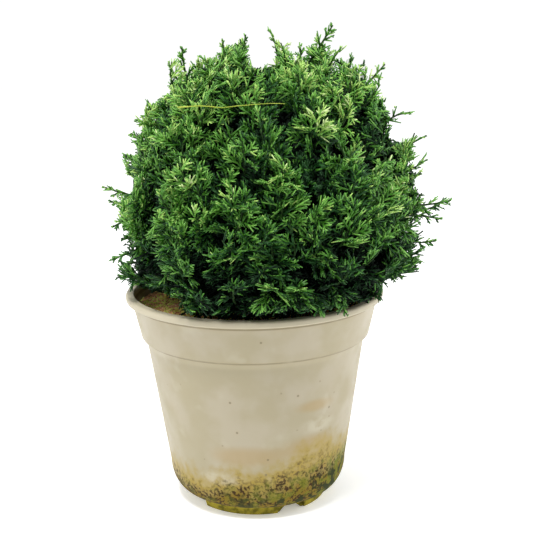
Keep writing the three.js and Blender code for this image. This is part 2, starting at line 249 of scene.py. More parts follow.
def ring_faces(rings: int, sides: int) -> list[list[int]]:
    """Gives the faces between rings of points that follow one another.

    Args:
        rings: Number of rings.
        sides: Points on each ring.

    Returns:
        Point numbers of each face.
    """
    faces = []
    for i in range(rings - 1):
        for k in range(sides):
            a, b = i * sides + k, i * sides + (k + 1) % sides
            faces.append([a, b, b + sides, a + sides])
    return faces


def tube(line: np.ndarray, radii: np.ndarray, sides: int) -> tuple[np.ndarray, list[list[int]]]:
    """Makes a closed tube along a line.

    Args:
        line: Points of the centre line.
        radii: One radius for each point, or one row of radii, a column for each side.
        sides: Number of sides.

    Returns:
        The points and the faces.
    """
    along = unit(np.gradient(line, axis=0))
    reference = np.array([1.0, 0, 0]) if abs(along[0][2]) > 0.8 else np.array([0, 0, 1.0])
    u = unit(np.cross(reference, along))
    v = np.cross(along, u)
    turn = turns(sides)
    radii = np.broadcast_to(np.asarray(radii, float).reshape(len(line), -1), (len(line), sides))
    ring = np.cos(turn)[None, :, None] * u[:, None] + np.sin(turn)[None, :, None] * v[:, None]
    points = (line[:, None] + radii[:, :, None] * ring).reshape(-1, 3)
    last = (len(line) - 1) * sides
    ends = [list(range(sides))[::-1], list(range(last, last + sides))]
    return points, ring_faces(len(line), sides) + ends


def joined(parts: Sequence[tuple[np.ndarray, list[list[int]]]]) -> tuple[np.ndarray, list[list[int]]]:
    """Puts several point and face lists into one.

    Args:
        parts: The points and the faces of each part.

    Returns:
        All the points and all the faces.
    """
    points, faces, count = [], [], 0
    for part_points, part_faces in parts:
        points.append(part_points)
        faces += [[i + count for i in face] for face in part_faces]
        count += len(part_points)
    return np.concatenate(points), faces


# ---- Finishes ----


def new_material(name: str) -> tuple[bpy.types.Material, bpy.types.NodeTree]:
    """Makes a material with an empty tree.

    Args:
        name: The material's name.

    Returns:
        The material and its tree.
    """
    material = bpy.data.materials.new(name)
    material.use_nodes = True
    material.node_tree.nodes.clear()
    return material, material.node_tree


def close_material(tree: bpy.types.NodeTree, inputs: dict[str, Any]) -> None:
    """Ends a material's tree in its shader and its output.

    Args:
        tree: The tree.
        inputs: The shader's inputs.
    """
    shader = add_node(tree, "ShaderNodeBsdfPrincipled", inputs=inputs)
    add_node(tree, "ShaderNodeOutputMaterial", inputs={"Surface": shader})


class Measure(Enum):
    """What a stain on the pot may follow, in millimetres."""

    SIDE = "X"
    HEIGHT = "Z"
    LEVEL = "level"  # the height, bent by the ragged and leaning line that water left


@dataclass(frozen=True)
class Patches:
    """Cloudy patches of a size in millimetres, frayed by more detail and squeezed along the axes."""

    size: float
    detail: float = 3.0
    squeeze: Optional[tuple[float, float, float]] = None


@dataclass(frozen=True)
class Flecks:
    """Small round flecks, measured by how far each place is from the nearest one."""

    spacing: float


@dataclass(frozen=True)
class Spot:
    """An oval spot, measured by how far each place is from its middle, in its radii."""

    middle: tuple[float, float, float]
    radii: tuple[float, float, float] = (1.5, 1.5, 1.5)


@dataclass(frozen=True)
class Fade:
    """A smooth step of a measure from a start to an end, and its values before and after."""

    of: Any
    start: float
    end: float
    low: float = 0.0
    high: float = 1.0


@dataclass(frozen=True)
class Stain:
    """A layer of colour, as strong as the strongest of its shares. A share multiplies its factors."""

    what: str
    colour: str
    shares: tuple[tuple[Any, ...], ...]
    strength: float = 1.0
    dulls: bool = False  # whether it takes the gloss away
    relief: float = 0.0  # how much it stands proud
    mottle: Optional[tuple[str, Fade]] = None  # a second colour, and where it shows


class StainTree:
    """The part of a material's tree that lays stains over one another."""

    def __init__(self, tree: bpy.types.NodeTree) -> None:
        """Starts from the place on the piece.

        Args:
            tree: The material's tree.
        """
        self.tree = tree
        self.place = add_node(tree, "ShaderNodeTexCoord").outputs["Object"]
        axes = add_node(tree, "ShaderNodeSeparateXYZ", inputs={0: self.place})
        self.measures: dict[Measure, Any] = {
            measure: add_node(
                tree, "ShaderNodeMath", {"operation": "DIVIDE"}, {0: axes.outputs[measure.value], 1: MM}
            )
            for measure in (Measure.SIDE, Measure.HEIGHT)
        }

    def value(self, of: Any) -> Any:
        """Gives what the tree reads for a factor.

        Args:
            of: A number, a measure, patches, flecks, a spot, or a fade of one of them.

        Returns:
            The number, or the node or socket that gives it.
        """
        if isinstance(of, Fade):
            return add_node(
                self.tree, "ShaderNodeMapRange", {"interpolation_type": "SMOOTHSTEP"},
                {"Value": self.value(of.of), "From Min": of.start, "From Max": of.end, "To Min": of.low,
                 "To Max": of.high},
            )
        if isinstance(of, Patches):
            place = self.place
            if of.squeeze:
                place = add_node(
                    self.tree, "ShaderNodeMapping", inputs={"Vector": place, "Scale": of.squeeze}
                )
            return add_node(
                self.tree, "ShaderNodeTexNoise",
                inputs={"Vector": place, "Scale": 1 / (of.size * MM), "Detail": of.detail},
            )
        if isinstance(of, Flecks):
            return add_node(
                self.tree, "ShaderNodeTexVoronoi",
                inputs={"Vector": self.place, "Scale": 1 / (of.spacing * MM), "Randomness": 1.0},
            ).outputs["Distance"]
        if isinstance(of, Spot):
            away: Any = self.place
            for operation, sizes in (("SUBTRACT", of.middle), ("DIVIDE", of.radii)):
                away = add_node(
                    self.tree, "ShaderNodeVectorMath", {"operation": operation},
                    {0: away, 1: [size * MM for size in sizes]},
                )
            return add_node(
                self.tree, "ShaderNodeVectorMath", {"operation": "LENGTH"}, {0: away}
            ).outputs["Value"]
        return self.measures.get(of, of)

    def strength(self, stain: Stain) -> Any:
        """Gives the strongest of a stain's shares at each place.

        Args:
            stain: The stain.

        Returns:
            The node or socket that gives it.
        """
        strongest = None
        for factors in stain.shares:
            share = self.value(factors[0])
            for factor in factors[1:]:
                share = add_node(
                    self.tree, "ShaderNodeMath", {"operation": "MULTIPLY"}, {0: share, 1: self.value(factor)}
                )
            if strongest is not None:
                share = add_node(
                    self.tree, "ShaderNodeMath", {"operation": "MAXIMUM"}, {0: strongest, 1: share}
                )
            strongest = share
        return strongest

    def lay(self, below: Any, stain: Stain, strength: Any) -> Any:
        """Lays a stain over the colours below it.

        Args:
            below: The colours so far.
            stain: The stain.
            strength: How strong it is at each place.

        Returns:
            The colours with the stain.
        """
        above: Any = linear(stain.colour)
        if stain.mottle:
            other, fade = stain.mottle
            above = add_node(
                self.tree, "ShaderNodeMix", {"data_type": "RGBA"},
                {0: self.value(fade), 6: above, 7: linear(other)},
            ).outputs[2]
        if stain.strength < 1:
            strength = add_node(
                self.tree, "ShaderNodeMath", {"operation": "MULTIPLY"}, {0: strength, 1: stain.strength}
            )
        return add_node(
            self.tree, "ShaderNodeMix", {"data_type": "RGBA", "label": stain.what},
            {0: strength, 6: below, 7: above},
        ).outputs[2]


@dataclass(frozen=True)
class MouldedPolypropylene:
    """Beige moulded polypropylene, chalky from the weather: soft gloss, with a stained foot.

    Lime and soil water leave an ochre tide round the foot, and green algae settle on its corner.
    """

    name: str = "moulded_polypropylene"
    beige: str = "#a49b85"
    grain: Patches = Patches(0.9, 2)  # the mould's fine grain
    grain_relief: float = 0.2
    gloss: Fade = Fade(Patches(20), 0.3, 0.7, 0.42, 0.58)
    dirt_roughness: float = 0.92
    # The line that water left: the patches that fray it and by how much, and its lean to one side.
    waves: tuple[tuple[Patches, float], ...] = ((Patches(45), 46.0), (Patches(7, 5), 30.0))
    lean: Fade = Fade(Measure.SIDE, -20, 75, 0.0, 22.0)
    stains: tuple[Stain, ...] = (
        Stain("weathered clouds", "#9c9378", ((Fade(Patches(38), 0.35, 0.65),),)),
        # Painted light: the lip above its lower edge is paler than the wall below it.
        Stain("painted light on the lip", "#aea68f", ((Fade(Measure.HEIGHT, 193.2, 194.2),),)),
        *(
            Stain("tan cloud", "#9c8352", ((Fade(Spot(*oval), 1.0, 0.3), 0.5),))
            for oval in (
                ((52.3, -79.5, 111), (26, 26, 8)), ((50, -76, 72), (48, 30, 14)),
                ((-10, -88, 66), (55, 20, 14)),
            )
        ),
        Stain("ochre tide", "#958032", ((Fade(Measure.LEVEL, 62, 34),),)),
        Stain("pale scuffs", "#b3ac98", (
            (Fade(Patches(26, 2), 0.6, 0.75), 0.5),
            (Fade(Spot((55.7, -73.6, 91), (24, 24, 11)), 1.0, 0.3), Fade(Patches(9, 4), 0.3, 0.6)),
            (Fade(Spot((-36.6, -76.6, 42), (34, 20, 9)), 1.0, 0.3), Fade(Patches(9, 4), 0.3, 0.6)),
        ), 0.6),
        # Painted shade: a thin dark line in the crease under the lip and under the collar's step, with some
        # dirt in it.
        Stain("painted shade and dirt under the lip and the collar", "#7a7054", tuple(
            (
                Fade(Measure.HEIGHT, low - 0.7, low), Fade(Measure.HEIGHT, high + 0.5, high),
                Fade(Patches(12, 2), 0.2, 0.5, 0.5, 0.85),
            )
            for low, high in ((191.0, 193.4), (157.6, 159.2))
        )),
        Stain("dirty foot", "#735f14", ((Fade(Measure.LEVEL, 40, 14),),), dulls=True),
        Stain("brown speckles", "#35220a", (
            (Fade(Patches(2.6, 6), 0.47, 0.57), Fade(Measure.LEVEL, 46, 24)),
        ), dulls=True),
        Stain("moss blooms", "#646a12", (
            (Fade(Patches(11, 6), 0.46, 0.6), Fade(Measure.LEVEL, 44, 22), Fade(Measure.SIDE, -60, 50, 0.4)),
        ), 0.75, dulls=True),
        Stain("moss runs", "#646a12", (
            (Fade(Patches(3.5, 3, (1.0, 1.0, 0.14)), 0.45, 0.6), Fade(Measure.HEIGHT, 64, 44),
             Fade(Measure.SIDE, 56, 74)),
        ), 0.8),
        Stain("algae", "#252c02", (
            (Fade(Patches(9, 7), 0.5, 0.58), Fade(Measure.LEVEL, 30, 16), Fade(Measure.SIDE, -70, 40, 0.5)),
        ), dulls=True, relief=1.5),
        Stain(
            "slimy foot ring", "#625c14", ((Fade(Measure.HEIGHT, 10.5, 8.5),),),
            mottle=("#a2952c", Fade(Patches(6, 5), 0.35, 0.65)),
        ),
        Stain("dark specks", "#6f6448", (
            *(
                (Fade(Spot(middle), 1.0, 0.4),)
                for middle in (
                    (4.5, -111.2, 179.3), (36.1, -90.3, 123.9), (64.6, -68.8, 105.2), (-23.5, -93.8, 120.1),
                    (-18.1, -90.4, 90.8), (8.7, -87.6, 63.5), (6.7, -85.5, 48.3),
                )
            ),
            (Fade(Flecks(17), 0.07, 0.03), 0.6),
        ), 0.75),
    )

    def build(self) -> bpy.types.Material:
        """Builds the material.

        Returns:
            The material.
        """
        material, tree = new_material(self.name)
        surface = StainTree(tree)
        level = surface.value(Measure.HEIGHT)
        for patches, swing in self.waves:
            wave = add_node(
                tree, "ShaderNodeMath", {"operation": "MULTIPLY_ADD"},
                {0: surface.value(patches), 1: swing, 2: -swing / 2},
            )
            level = add_node(tree, "ShaderNodeMath", {"operation": "ADD"}, {0: level, 1: wave})
        level = add_node(
            tree, "ShaderNodeMath", {"operation": "SUBTRACT"}, {0: level, 1: surface.value(self.lean)}
        )
        surface.measures[Measure.LEVEL] = level

        colour: Any = linear(self.beige)
        dirt: Any = 0.0
        bumps = surface.value(self.grain)
        for stain in self.stains:
            strength = surface.strength(stain)
            colour = surface.lay(colour, stain, strength)
            if stain.dulls:
                dirt = add_node(tree, "ShaderNodeMath", {"operation": "MAXIMUM"}, {0: dirt, 1: strength})
            if stain.relief:
                bumps = add_node(
                    tree, "ShaderNodeMath", {"operation": "MULTIPLY_ADD"},
                    {0: strength, 1: stain.relief, 2: bumps},
                )
        dull = add_node(tree, "ShaderNodeMath", {"operation": "MULTIPLY"}, {0: dirt, 1: self.dirt_roughness})
        roughness = add_node(
            tree, "ShaderNodeMath", {"operation": "MAXIMUM"}, {0: surface.value(self.gloss), 1: dull}
        )
        bump = add_node(
            tree, "ShaderNodeBump",
            inputs={"Height": bumps, "Strength": 0.25, "Distance": self.grain_relief * MM},
        )
        close_material(tree, {
            "Base Color": colour, "Roughness": roughness, "Normal": bump, "IOR": 1.49,
            "Specular IOR Level": 0.35,
        })
        return material


@dataclass(frozen=True)
class Grained:
    """A rough natural surface of two colours in patches: compost, bark, twig, moss or straw."""

    name: str
    dark: str
    light: str
    patch: float  # width of a patch in millimetres
    stretch: tuple[float, float, float] = (1.0, 1.0, 1.0)  # how much finer the patches are along each axis
    roughness: float = 0.9
    relief: float = 0.4

    def build(self) -> bpy.types.Material:
        """Builds the material.

        Returns:
            The material.
        """
        material, tree = new_material(self.name)
        place = add_node(tree, "ShaderNodeTexCoord").outputs["Object"]
        place = add_node(tree, "ShaderNodeMapping", inputs={"Vector": place, "Scale": self.stretch})
        pattern = add_node(
            tree, "ShaderNodeTexNoise",
            inputs={"Vector": place, "Scale": 1 / (self.patch * MM), "Detail": 5.0},
        )
        ramp = add_node(
            tree, "ShaderNodeValToRGB", inputs={0: pattern}, stops=[(0.35, self.dark), (0.65, self.light)]
        )
        bump = add_node(
            tree, "ShaderNodeBump",
            inputs={"Height": pattern, "Strength": 0.7, "Distance": self.relief * MM},
        )
        close_material(tree, {
            "Base Color": ramp, "Roughness": self.roughness, "Normal": bump, "Specular IOR Level": 0.25,
        })
        return material


@dataclass(frozen=True)
class ScaleLeaf:
    """Scale leaves of one green: a waxy skin with a soft gloss that dulls towards the old wood."""

    name: str
    green: str
    roughness: float = 0.45
    gloss: float = 0.45

    def build(self) -> bpy.types.Material:
        """Builds the material.

        Returns:
            The material.
        """
        material, tree = new_material(self.name)
        close_material(tree, {
            "Base Color": linear(self.green), "Roughness": self.roughness, "Specular IOR Level": self.gloss,
        })
        return material


class Tone(Enum):
    """The greens of the leaves, from the oldest and innermost to the youngest tips. They also carry painted
    shade deep in and under the crown and painted light on what faces up; the palest partly stand for painted
    highlights.
    """

    SHADE = ScaleLeaf("leaf_shade", "#031208", 0.7, 0.15)
    DEEP = ScaleLeaf("leaf_deep", "#09290f", 0.65, 0.2)
    OLD = ScaleLeaf("leaf_old", "#1a4a18", 0.55, 0.35)
    MID = ScaleLeaf("leaf_mid", "#417a20")
    FRESH = ScaleLeaf("leaf_fresh", "#6ea742")
    YOUNG = ScaleLeaf("leaf_young", "#a2c864")
    TIP = ScaleLeaf("leaf_tip", "#cae098", 0.4)


BARK = Grained("fibrous_bark", "#1a130e", "#43352a", 3.0, (3.0, 3.0, 0.6))
TWIG = Grained("green_brown_twig", "#14260c", "#2c4c1a", 2.0)
# Painted light: the compost, its grains and the moss are far lighter than they really are, to make up for the
# crown's shade over the compost.
COMPOST = Grained("damp_compost", "#9c6438", "#f8c084", 3.5, relief=1.0)
GRAIN = Grained("compost_grain", "#e0a468", "#ffe8c4", 5.0)
MOSS = Grained("cushion_moss", "#c4cc50", "#f8f294", 3.0)
STRAW = Grained("dry_grass", "#86962a", "#a9b648", 12.0, roughness=0.6)
PALE_STRAW = Grained("bleached_grass", "#d8d3c0", "#f2eee0", 12.0, roughness=0.6)


# ---- The pot and the compost ----


@dataclass
class Pot:
    """The nursery pot, one turned shell with a rolled lip, a collar and a foot ring with notches."""

    rim_radius: float = 120.0
    height: float = 200.0
    wall: float = 2.4
    lip_drop: float = 7.5
    lip_inner: float = 113.0
    collar_top: float = 114.3
    collar_bottom: float = 106.8
    collar_foot: float = 159.5
    step: float = 7.0
    undercut: tuple[float, float] = (2.6, 1.5)
    body_top: float = 101.6
    body_bottom: float = 83.9
    body_foot: float = 36.0
    ring_radius: float = 66.5
    ring_height: float = 9.3
    ring_wall: float = 4.5
    floor_underside: float = 6.2
    floor_thickness: float = 2.6
    pad_radius: float = 16.0
    sides: int = 192
    notch_first: float = -62.0
    notch_size: tuple[float, float, float] = (20.0, 28.0, 14.0)
    notch_offset: float = 9.0  # from the ring's inner wall to a notch's middle
    drain_radius: float = 6.0
    drain_circle: float = 44.0
    sharp_angle: float = 38.0

    def corner(self, turn: float, inset: float = 0.0) -> tuple[float, float]:
        """Gives a point of the rounded lower corner.

        Args:
            turn: 0 at the foot ring, a quarter turn at the wall.
            inset: How far inside the outer face.

        Returns:
            Radius and height.
        """
        start = self.ring_radius + 1.5
        reach = self.body_bottom - start
        rise = self.body_foot - self.ring_height
        return start + reach * math.sin(turn) - inset, self.body_foot - rise * math.cos(turn) + inset

    def outside(self) -> list[tuple[float, float, float]]:
        """Gives the outer profile from the middle of the underside to the rim.

        Returns:
            Radius, height and rounding of each corner.
        """
        ring_inner = self.ring_radius - self.ring_wall
        lip_root = self.height - self.lip_drop
        return [
            (self.pad_radius, 0, 0.4),
            (self.pad_radius + 1, self.floor_underside, 0.4),
            (ring_inner - 1, self.floor_underside, 0.5),
            (ring_inner, 0, 0.4),
            (self.ring_radius - 2, 0, 0.5),
            (self.ring_radius, self.ring_height - 0.5, 0.3),
            *[(*self.corner(turn), 0.0) for turn in np.linspace(0, 1.4, 12)],
            (self.body_bottom, self.body_foot, 2.0),
            (self.body_top, self.collar_foot - self.step, 2.2),
            (self.collar_bottom - self.undercut[0], self.collar_foot - self.undercut[1], 0.5),
            (self.collar_bottom, self.collar_foot, 0.5),
            (self.collar_top, lip_root, 0.6),
            (self.rim_radius - 1, lip_root + 1.3, 0.9),
            (self.rim_radius, lip_root + 2.3, 0.4),
            (self.rim_radius, self.height - 1.5, 1.0),
            (self.rim_radius - 1.6, self.height, 1.0),
            (self.lip_inner, self.height, 0.8),
        ]

    def inside(self) -> list[tuple[float, float, float]]:
        """Gives the inner profile from the lip down to the floor.

        Returns:
            Radius, height and rounding of each corner.
        """
        return [
            (self.lip_inner - 0.9, self.height - 1.5, 0.8),
            (self.collar_top - self.wall, self.height - self.lip_drop, 0.8),
            (self.collar_bottom - self.wall, self.collar_foot + 1, 1.5),
            (self.body_top - self.wall, self.collar_foot - self.step, 1.5),
            (self.body_bottom - self.wall, self.body_foot, 1.5),
            (*self.corner(0.75, self.wall), 2.0),
            (self.ring_radius - 1, self.floor_underside + self.floor_thickness, 1.0),
        ]

    @staticmethod
    def rounded(profile: Sequence[tuple[float, float, float]], steps: int = 3) -> np.ndarray:
        """Rounds the corners of a profile.

        Args:
            profile: Radius, height and rounding of each corner.
            steps: Points on each rounded corner, less one.

        Returns:
            The points of the rounded profile.
        """
        points = []
        corners = np.array(profile, float)
        for i, (radius, height, size) in enumerate(corners):
            here = np.array([radius, height])
            if size == 0 or i in (0, len(corners) - 1):
                points.append(here)
                continue
            before, after = corners[i - 1, :2] - here, corners[i + 1, :2] - here
            a = here + before * min(0.45, size / np.linalg.norm(before))
            b = here + after * min(0.45, size / np.linalg.norm(after))
            for t in np.linspace(0, 1, steps + 1):
                points.append((1 - t) ** 2 * a + 2 * t * (1 - t) * here + t**2 * b)
        return np.array(points)

    def lathe(self, name: str, profile: np.ndarray) -> bpy.types.Object:
        """Turns a profile about Z. The profile's two ends are closed to the axis.

        Args:
            name: The object's name.
            profile: Radius and height of each point.

        Returns:
            The turned solid.
        """
        turn = turns(self.sides)
        rings = [
            np.stack([r * np.cos(turn), r * np.sin(turn), np.full(self.sides, z)], 1) for r, z in profile
        ]
        points = np.concatenate([*rings, [[0, 0, profile[0][1]], [0, 0, profile[-1][1]]]])
        faces = ring_faces(len(profile), self.sides)
        first, last = len(points) - 2, len(points) - 1
        end = (len(profile) - 1) * self.sides
        for k in range(self.sides):
            after = (k + 1) % self.sides
            faces.append([first, after, k])
            faces.append([last, end + k, end + after])
        return mesh_piece(name, points, faces)

    def cutters(self) -> bpy.types.Object:
        """Makes the boxes and rods that cut the notches and the drain holes.

        Returns:
            One object of them all.
        """
        parts = []
        for i in range(4):
            turn = Matrix.Rotation(math.radians(self.notch_first + 90 * i), 3, "Z")
            long, wide, high = (s / 2 for s in self.notch_size)
            middle = self.ring_radius - self.ring_wall + self.notch_offset
            box = [
                turn @ Vector((middle + sx * long, sy * wide, sz * high))
                for sx in (-1, 1) for sy in (-1, 1) for sz in (-1, 1)
            ]
            faces = [[0, 1, 3, 2], [4, 6, 7, 5], [0, 4, 5, 1], [2, 3, 7, 6], [0, 2, 6, 4], [1, 5, 7, 3]]
            parts.append((np.array([list(p) for p in box]), faces))
            hole = turn @ Vector((self.drain_circle, 0, 0))
            line = np.array([[hole.x, hole.y, -15.0], [hole.x, hole.y, 15.0]])
            parts.append(tube(line, np.full(2, self.drain_radius), 24))
        return mesh_piece("cutters", *joined(parts))

    def build(self, material: bpy.types.Material) -> bpy.types.Object:
        """Builds the pot and gives it its finish.

        Args:
            material: The pot's plastic.

        Returns:
            The pot.
        """
        profile = np.concatenate([self.rounded(self.outside()), self.rounded(self.inside())])
        pot = self.lathe("nursery_pot", profile)
        cutters = self.cutters()
        cut = pot.modifiers.new("cut", "BOOLEAN")
        cut.object, cut.operation, cut.solver = cutters, "DIFFERENCE", "EXACT"
        settle(pot)
        bpy.data.objects.remove(cutters)
        pot.data.materials.clear()
        pot.data.materials.append(material)
        pot.data.set_sharp_from_angle(angle=math.radians(self.sharp_angle))
        finish_piece(pot, ["pot"])
        return pot


@dataclass
class Compost:
    """The compost that fills the pot, with loose grains and moss on its top."""

    level: float = 188.0
    crown_rise: float = 3.0
    flat_radius: float = 24.0
    edge_radius: float = 109.4
    edge_drop: float = 2.0
    mound_rise: float = 4.5
    mound_place: tuple[float, float] = (-78.0, -52.0)
    mound_width: float = 26.0
    gap: float = 0.3  # between the compost and the pot's wall
    rings: int = 46
    sides: int = 128
    grain_size: float = 2.6
    grain_density: float = 26000.0  # grains to a square metre
    moss_density: float = 110000.0
    moss_size: float = 4.4
    moss_patch: float = 26.0
    spread_depth: float = 3.0  # how far below the level grains still lie

    def top_height(self, radius: np.ndarray, x: np.ndarray, y: np.ndarray) -> np.ndarray:
        """Gives the height of the crumbly top.

        Args:
            radius: Distances from the axis.
            x: Places across.
            y: Places in depth.

        Returns:
            Heights in millimetres.
        """
        knots = [0, self.flat_radius, 0.8 * self.edge_radius, self.edge_radius]
        heights = [self.level + self.crown_rise] * 2 + [self.level, self.level - self.edge_drop]
        crumbs = (
            0.5 * np.sin(x / 7 + 1.3) * np.sin(y / 6)
            + 0.35 * np.sin(x / 2.9 + y / 4.1) * np.sin(y / 2.3 - x / 5)
            + 0.25 * np.sin(x / 1.3 + 2) * np.sin(y / 1.5 + 1)
        )
        away = np.clip((radius - self.flat_radius) / 15, 0, 1)
        away = away * np.clip((self.edge_radius - radius) / 4, 0, 1)
        mound_x, mound_y = self.mound_place
        mound = self.mound_rise * np.exp(-((x - mound_x) ** 2 + (y - mound_y) ** 2) / self.mound_width**2)
        return np.interp(radius, knots, heights) + (crumbs + mound) * away

    def build(self, pot: Pot) -> None:
        """Builds the compost inside a pot.

        Args:
            pot: The pot that holds it.
        """
        walls = [(r - self.gap, z + self.gap) for r, z, _ in pot.inside()[:0:-1]]
        base, top = walls[-2], walls[-1]
        edge_z = self.level - self.edge_drop
        share = (edge_z - base[1]) / (top[1] - base[1])
        edge_r = base[0] + share * (top[0] - base[0])
        profile = [(0.0, walls[0][1]), *walls[:-1]]
        turn = turns(self.sides)
        rings = [(r, z, False) for r, z in profile[1:]]
        rings += [(r, 0.0, True) for r in np.linspace(edge_r, 1.2, self.rings)]
        points = [[0, 0, profile[0][1]]]
        for radius, z, is_top in rings:
            x, y = radius * np.cos(turn), radius * np.sin(turn)
            heights = self.top_height(np.full(self.sides, radius), x, y) if is_top else np.full(self.sides, z)
            points += np.stack([x, y, heights], 1).tolist()
        points.append([0, 0, self.level + self.crown_rise])
        faces = []
        for k in range(self.sides):
            after = (k + 1) % self.sides
            faces.append([0, 1 + after, 1 + k])
            last = 1 + (len(rings) - 1) * self.sides
            faces.append([len(points) - 1, last + k, last + after])
            for i in range(len(rings) - 1):
                a, b = 1 + i * self.sides + k, 1 + i * self.sides + after
                faces.append([a, b, b + self.sides, a + self.sides])
        soil = mesh_piece("compost_bed", np.array(points), faces)
        soil.data.materials.append(COMPOST.build())
        finish_piece(soil, ["soil"])
        self.scatter(soil, "compost_grains", GRAIN, self.grain_size, self.grain_density, 5, 0.0)
        self.scatter(soil, "cushion_moss", MOSS, self.moss_size, self.moss_density, 9, 1.0)

    def scatter(
        self, bed: bpy.types.Object, name: str, finish: Grained, size: float, density: float, seed: int,
        patchy: float,
    ) -> None:
        """Scatters grains or moss over the compost's top.

        Args:
            bed: The compost.
            name: The new piece's name.
            finish: Its finish.
            size: Width of the largest grain.
            density: Grains to a square metre.
            seed: Seed of the places.
            patchy: 1 keeps them to patches.
        """
        tree = new_geometry_tree(
            name + "_tree",
            [("Size", "NodeSocketFloat"), ("Density", "NodeSocketFloat"), ("Seed", "NodeSocketInt"),
             ("Patchy", "NodeSocketFloat"), ("Floor", "NodeSocketFloat"), ("Finish", "NodeSocketMaterial")],
        )
        given = add_node(tree, "NodeGroupInput").outputs
        place = add_node(tree, "GeometryNodeInputPosition")
        split = add_node(tree, "ShaderNodeSeparateXYZ", inputs={0: place})
        high = add_node(
            tree, "FunctionNodeCompare", {"operation": "GREATER_THAN"},
            {0: split.outputs["Z"], 1: given["Floor"]},
        )
        patches = add_node(
            tree, "ShaderNodeTexNoise",
            inputs={"Vector": place, "Scale": 1 / (self.moss_patch * MM), "Detail": 2.0},
        )
        near = add_node(
            tree, "ShaderNodeMapRange", inputs={"Value": patches, "From Min": 0.43, "From Max": 0.52}
        )
        thinned = add_node(
            tree, "ShaderNodeMix", {"data_type": "FLOAT"}, {0: given["Patchy"], 2: 1.0, 3: near}
        )
        dense = add_node(tree, "ShaderNodeMath", {"operation": "MULTIPLY"}, {0: given["Density"], 1: thinned})
        spots = add_node(
            tree, "GeometryNodeDistributePointsOnFaces", {"distribute_method": "RANDOM"},
            {"Mesh": given["Geometry"], "Selection": high, "Density": dense, "Seed": given["Seed"]},
        )
        grain = add_node(tree, "GeometryNodeMeshIcoSphere", inputs={"Radius": 0.5, "Subdivisions": 1})
        spin = add_node(
            tree, "FunctionNodeRandomValue", {"data_type": "FLOAT_VECTOR"},
            {0: (0.0, 0.0, 0.0), 1: (6.3, 6.3, 6.3), "Seed": given["Seed"]},
        )
        shape = add_node(
            tree, "FunctionNodeRandomValue", {"data_type": "FLOAT_VECTOR"},
            {0: (0.25, 0.25, 0.2), 1: (1.0, 0.8, 0.6), "Seed": given["Seed"]},
        )
        sized = add_node(
            tree, "ShaderNodeVectorMath", {"operation": "SCALE"}, {0: shape, "Scale": given["Size"]}
        )
        grains = add_node(
            tree, "GeometryNodeInstanceOnPoints",
            inputs={"Points": spots, "Instance": grain, "Rotation": spin, "Scale": sized},
        )
        real = add_node(tree, "GeometryNodeRealizeInstances", inputs={0: grains})
        dressed = add_node(
            tree, "GeometryNodeSetMaterial", inputs={"Geometry": real, "Material": given["Finish"]}
        )
        add_node(tree, "NodeGroupOutput", inputs={0: dressed})
        made = add_object(name, bed.data.copy())
        run_tree(made, tree, {
            "Size": size * MM, "Density": density, "Seed": seed, "Patchy": patchy,
            "Floor": (self.level - self.spread_depth) * MM, "Finish": finish.build(),
        })
        finish_piece(made)


# ---- The crown's shape ----


@dataclass(frozen=True)
class Ring:
    """A ring of foliage masses at one height."""

    name: str
    count: int
    first_azimuth: float
    radius: float
    height: float
    fork: float
    stagger: float


@dataclass
class Mass:
    """One mass of foliage: its middle, and where its bough leaves the trunk."""

    name: str
    middle: np.ndarray
    fork: Optional[np.ndarray]


@dataclass
class Trunk:
    """The trunk, which leans a little, with a flared foot and stringy bark."""

    ground: float = 191.3
    tip: float = 336.0
    lean: tuple[float, float] = (10.0, -2.0)
    radius: float = 8.5
    tip_radius: float = 4.0
    foot_radius: float = 15.0
    flare: float = 9.0
    sides: int = 56
    steps: int = 120

    def points(self, shares: np.ndarray) -> np.ndarray:
        """Gives points on the trunk's middle line.

        Args:
            shares: Places along it, from 0 to 1.

        Returns:
            One point for each share.
        """
        x, y = self.lean
        controls = [[0, 0, self.ground], [0, 0, self.ground + 50], [x, y, self.tip - 50], [x, y, self.tip]]
        return bezier(np.array(controls), shares)

    def build(self, material: bpy.types.Material) -> None:
        """Builds the trunk with bark in long strings.

        Args:
            material: The bark.
        """
        shares = np.linspace(0, 1, self.steps)
        line = self.points(shares)
        height = line[:, 2] - self.ground
        radii = self.radius + (self.tip_radius - self.radius) * shares
        radii = radii + (self.foot_radius - self.radius) * np.exp(-height / self.flare)
        turn = turns(self.sides)[None]
        z = height[:, None]
        strings = np.abs(np.sin(4.5 * turn + 0.05 * z + np.sin(z / 9 + turn))) ** 0.6
        plates = np.sin(9 * turn + z / 5) * np.sin(z / 3.1 + 2 * turn)
        relief = -0.9 * (1 - strings) + 0.25 * plates
        made = mesh_piece("trunk_bark", *tube(line, radii[:, None] + relief, self.sides))
        made.data.materials.append(material)
        finish_piece(made, ["trunk"])


CROWN_MIDDLE = (15.0, 0.0, 250.0)


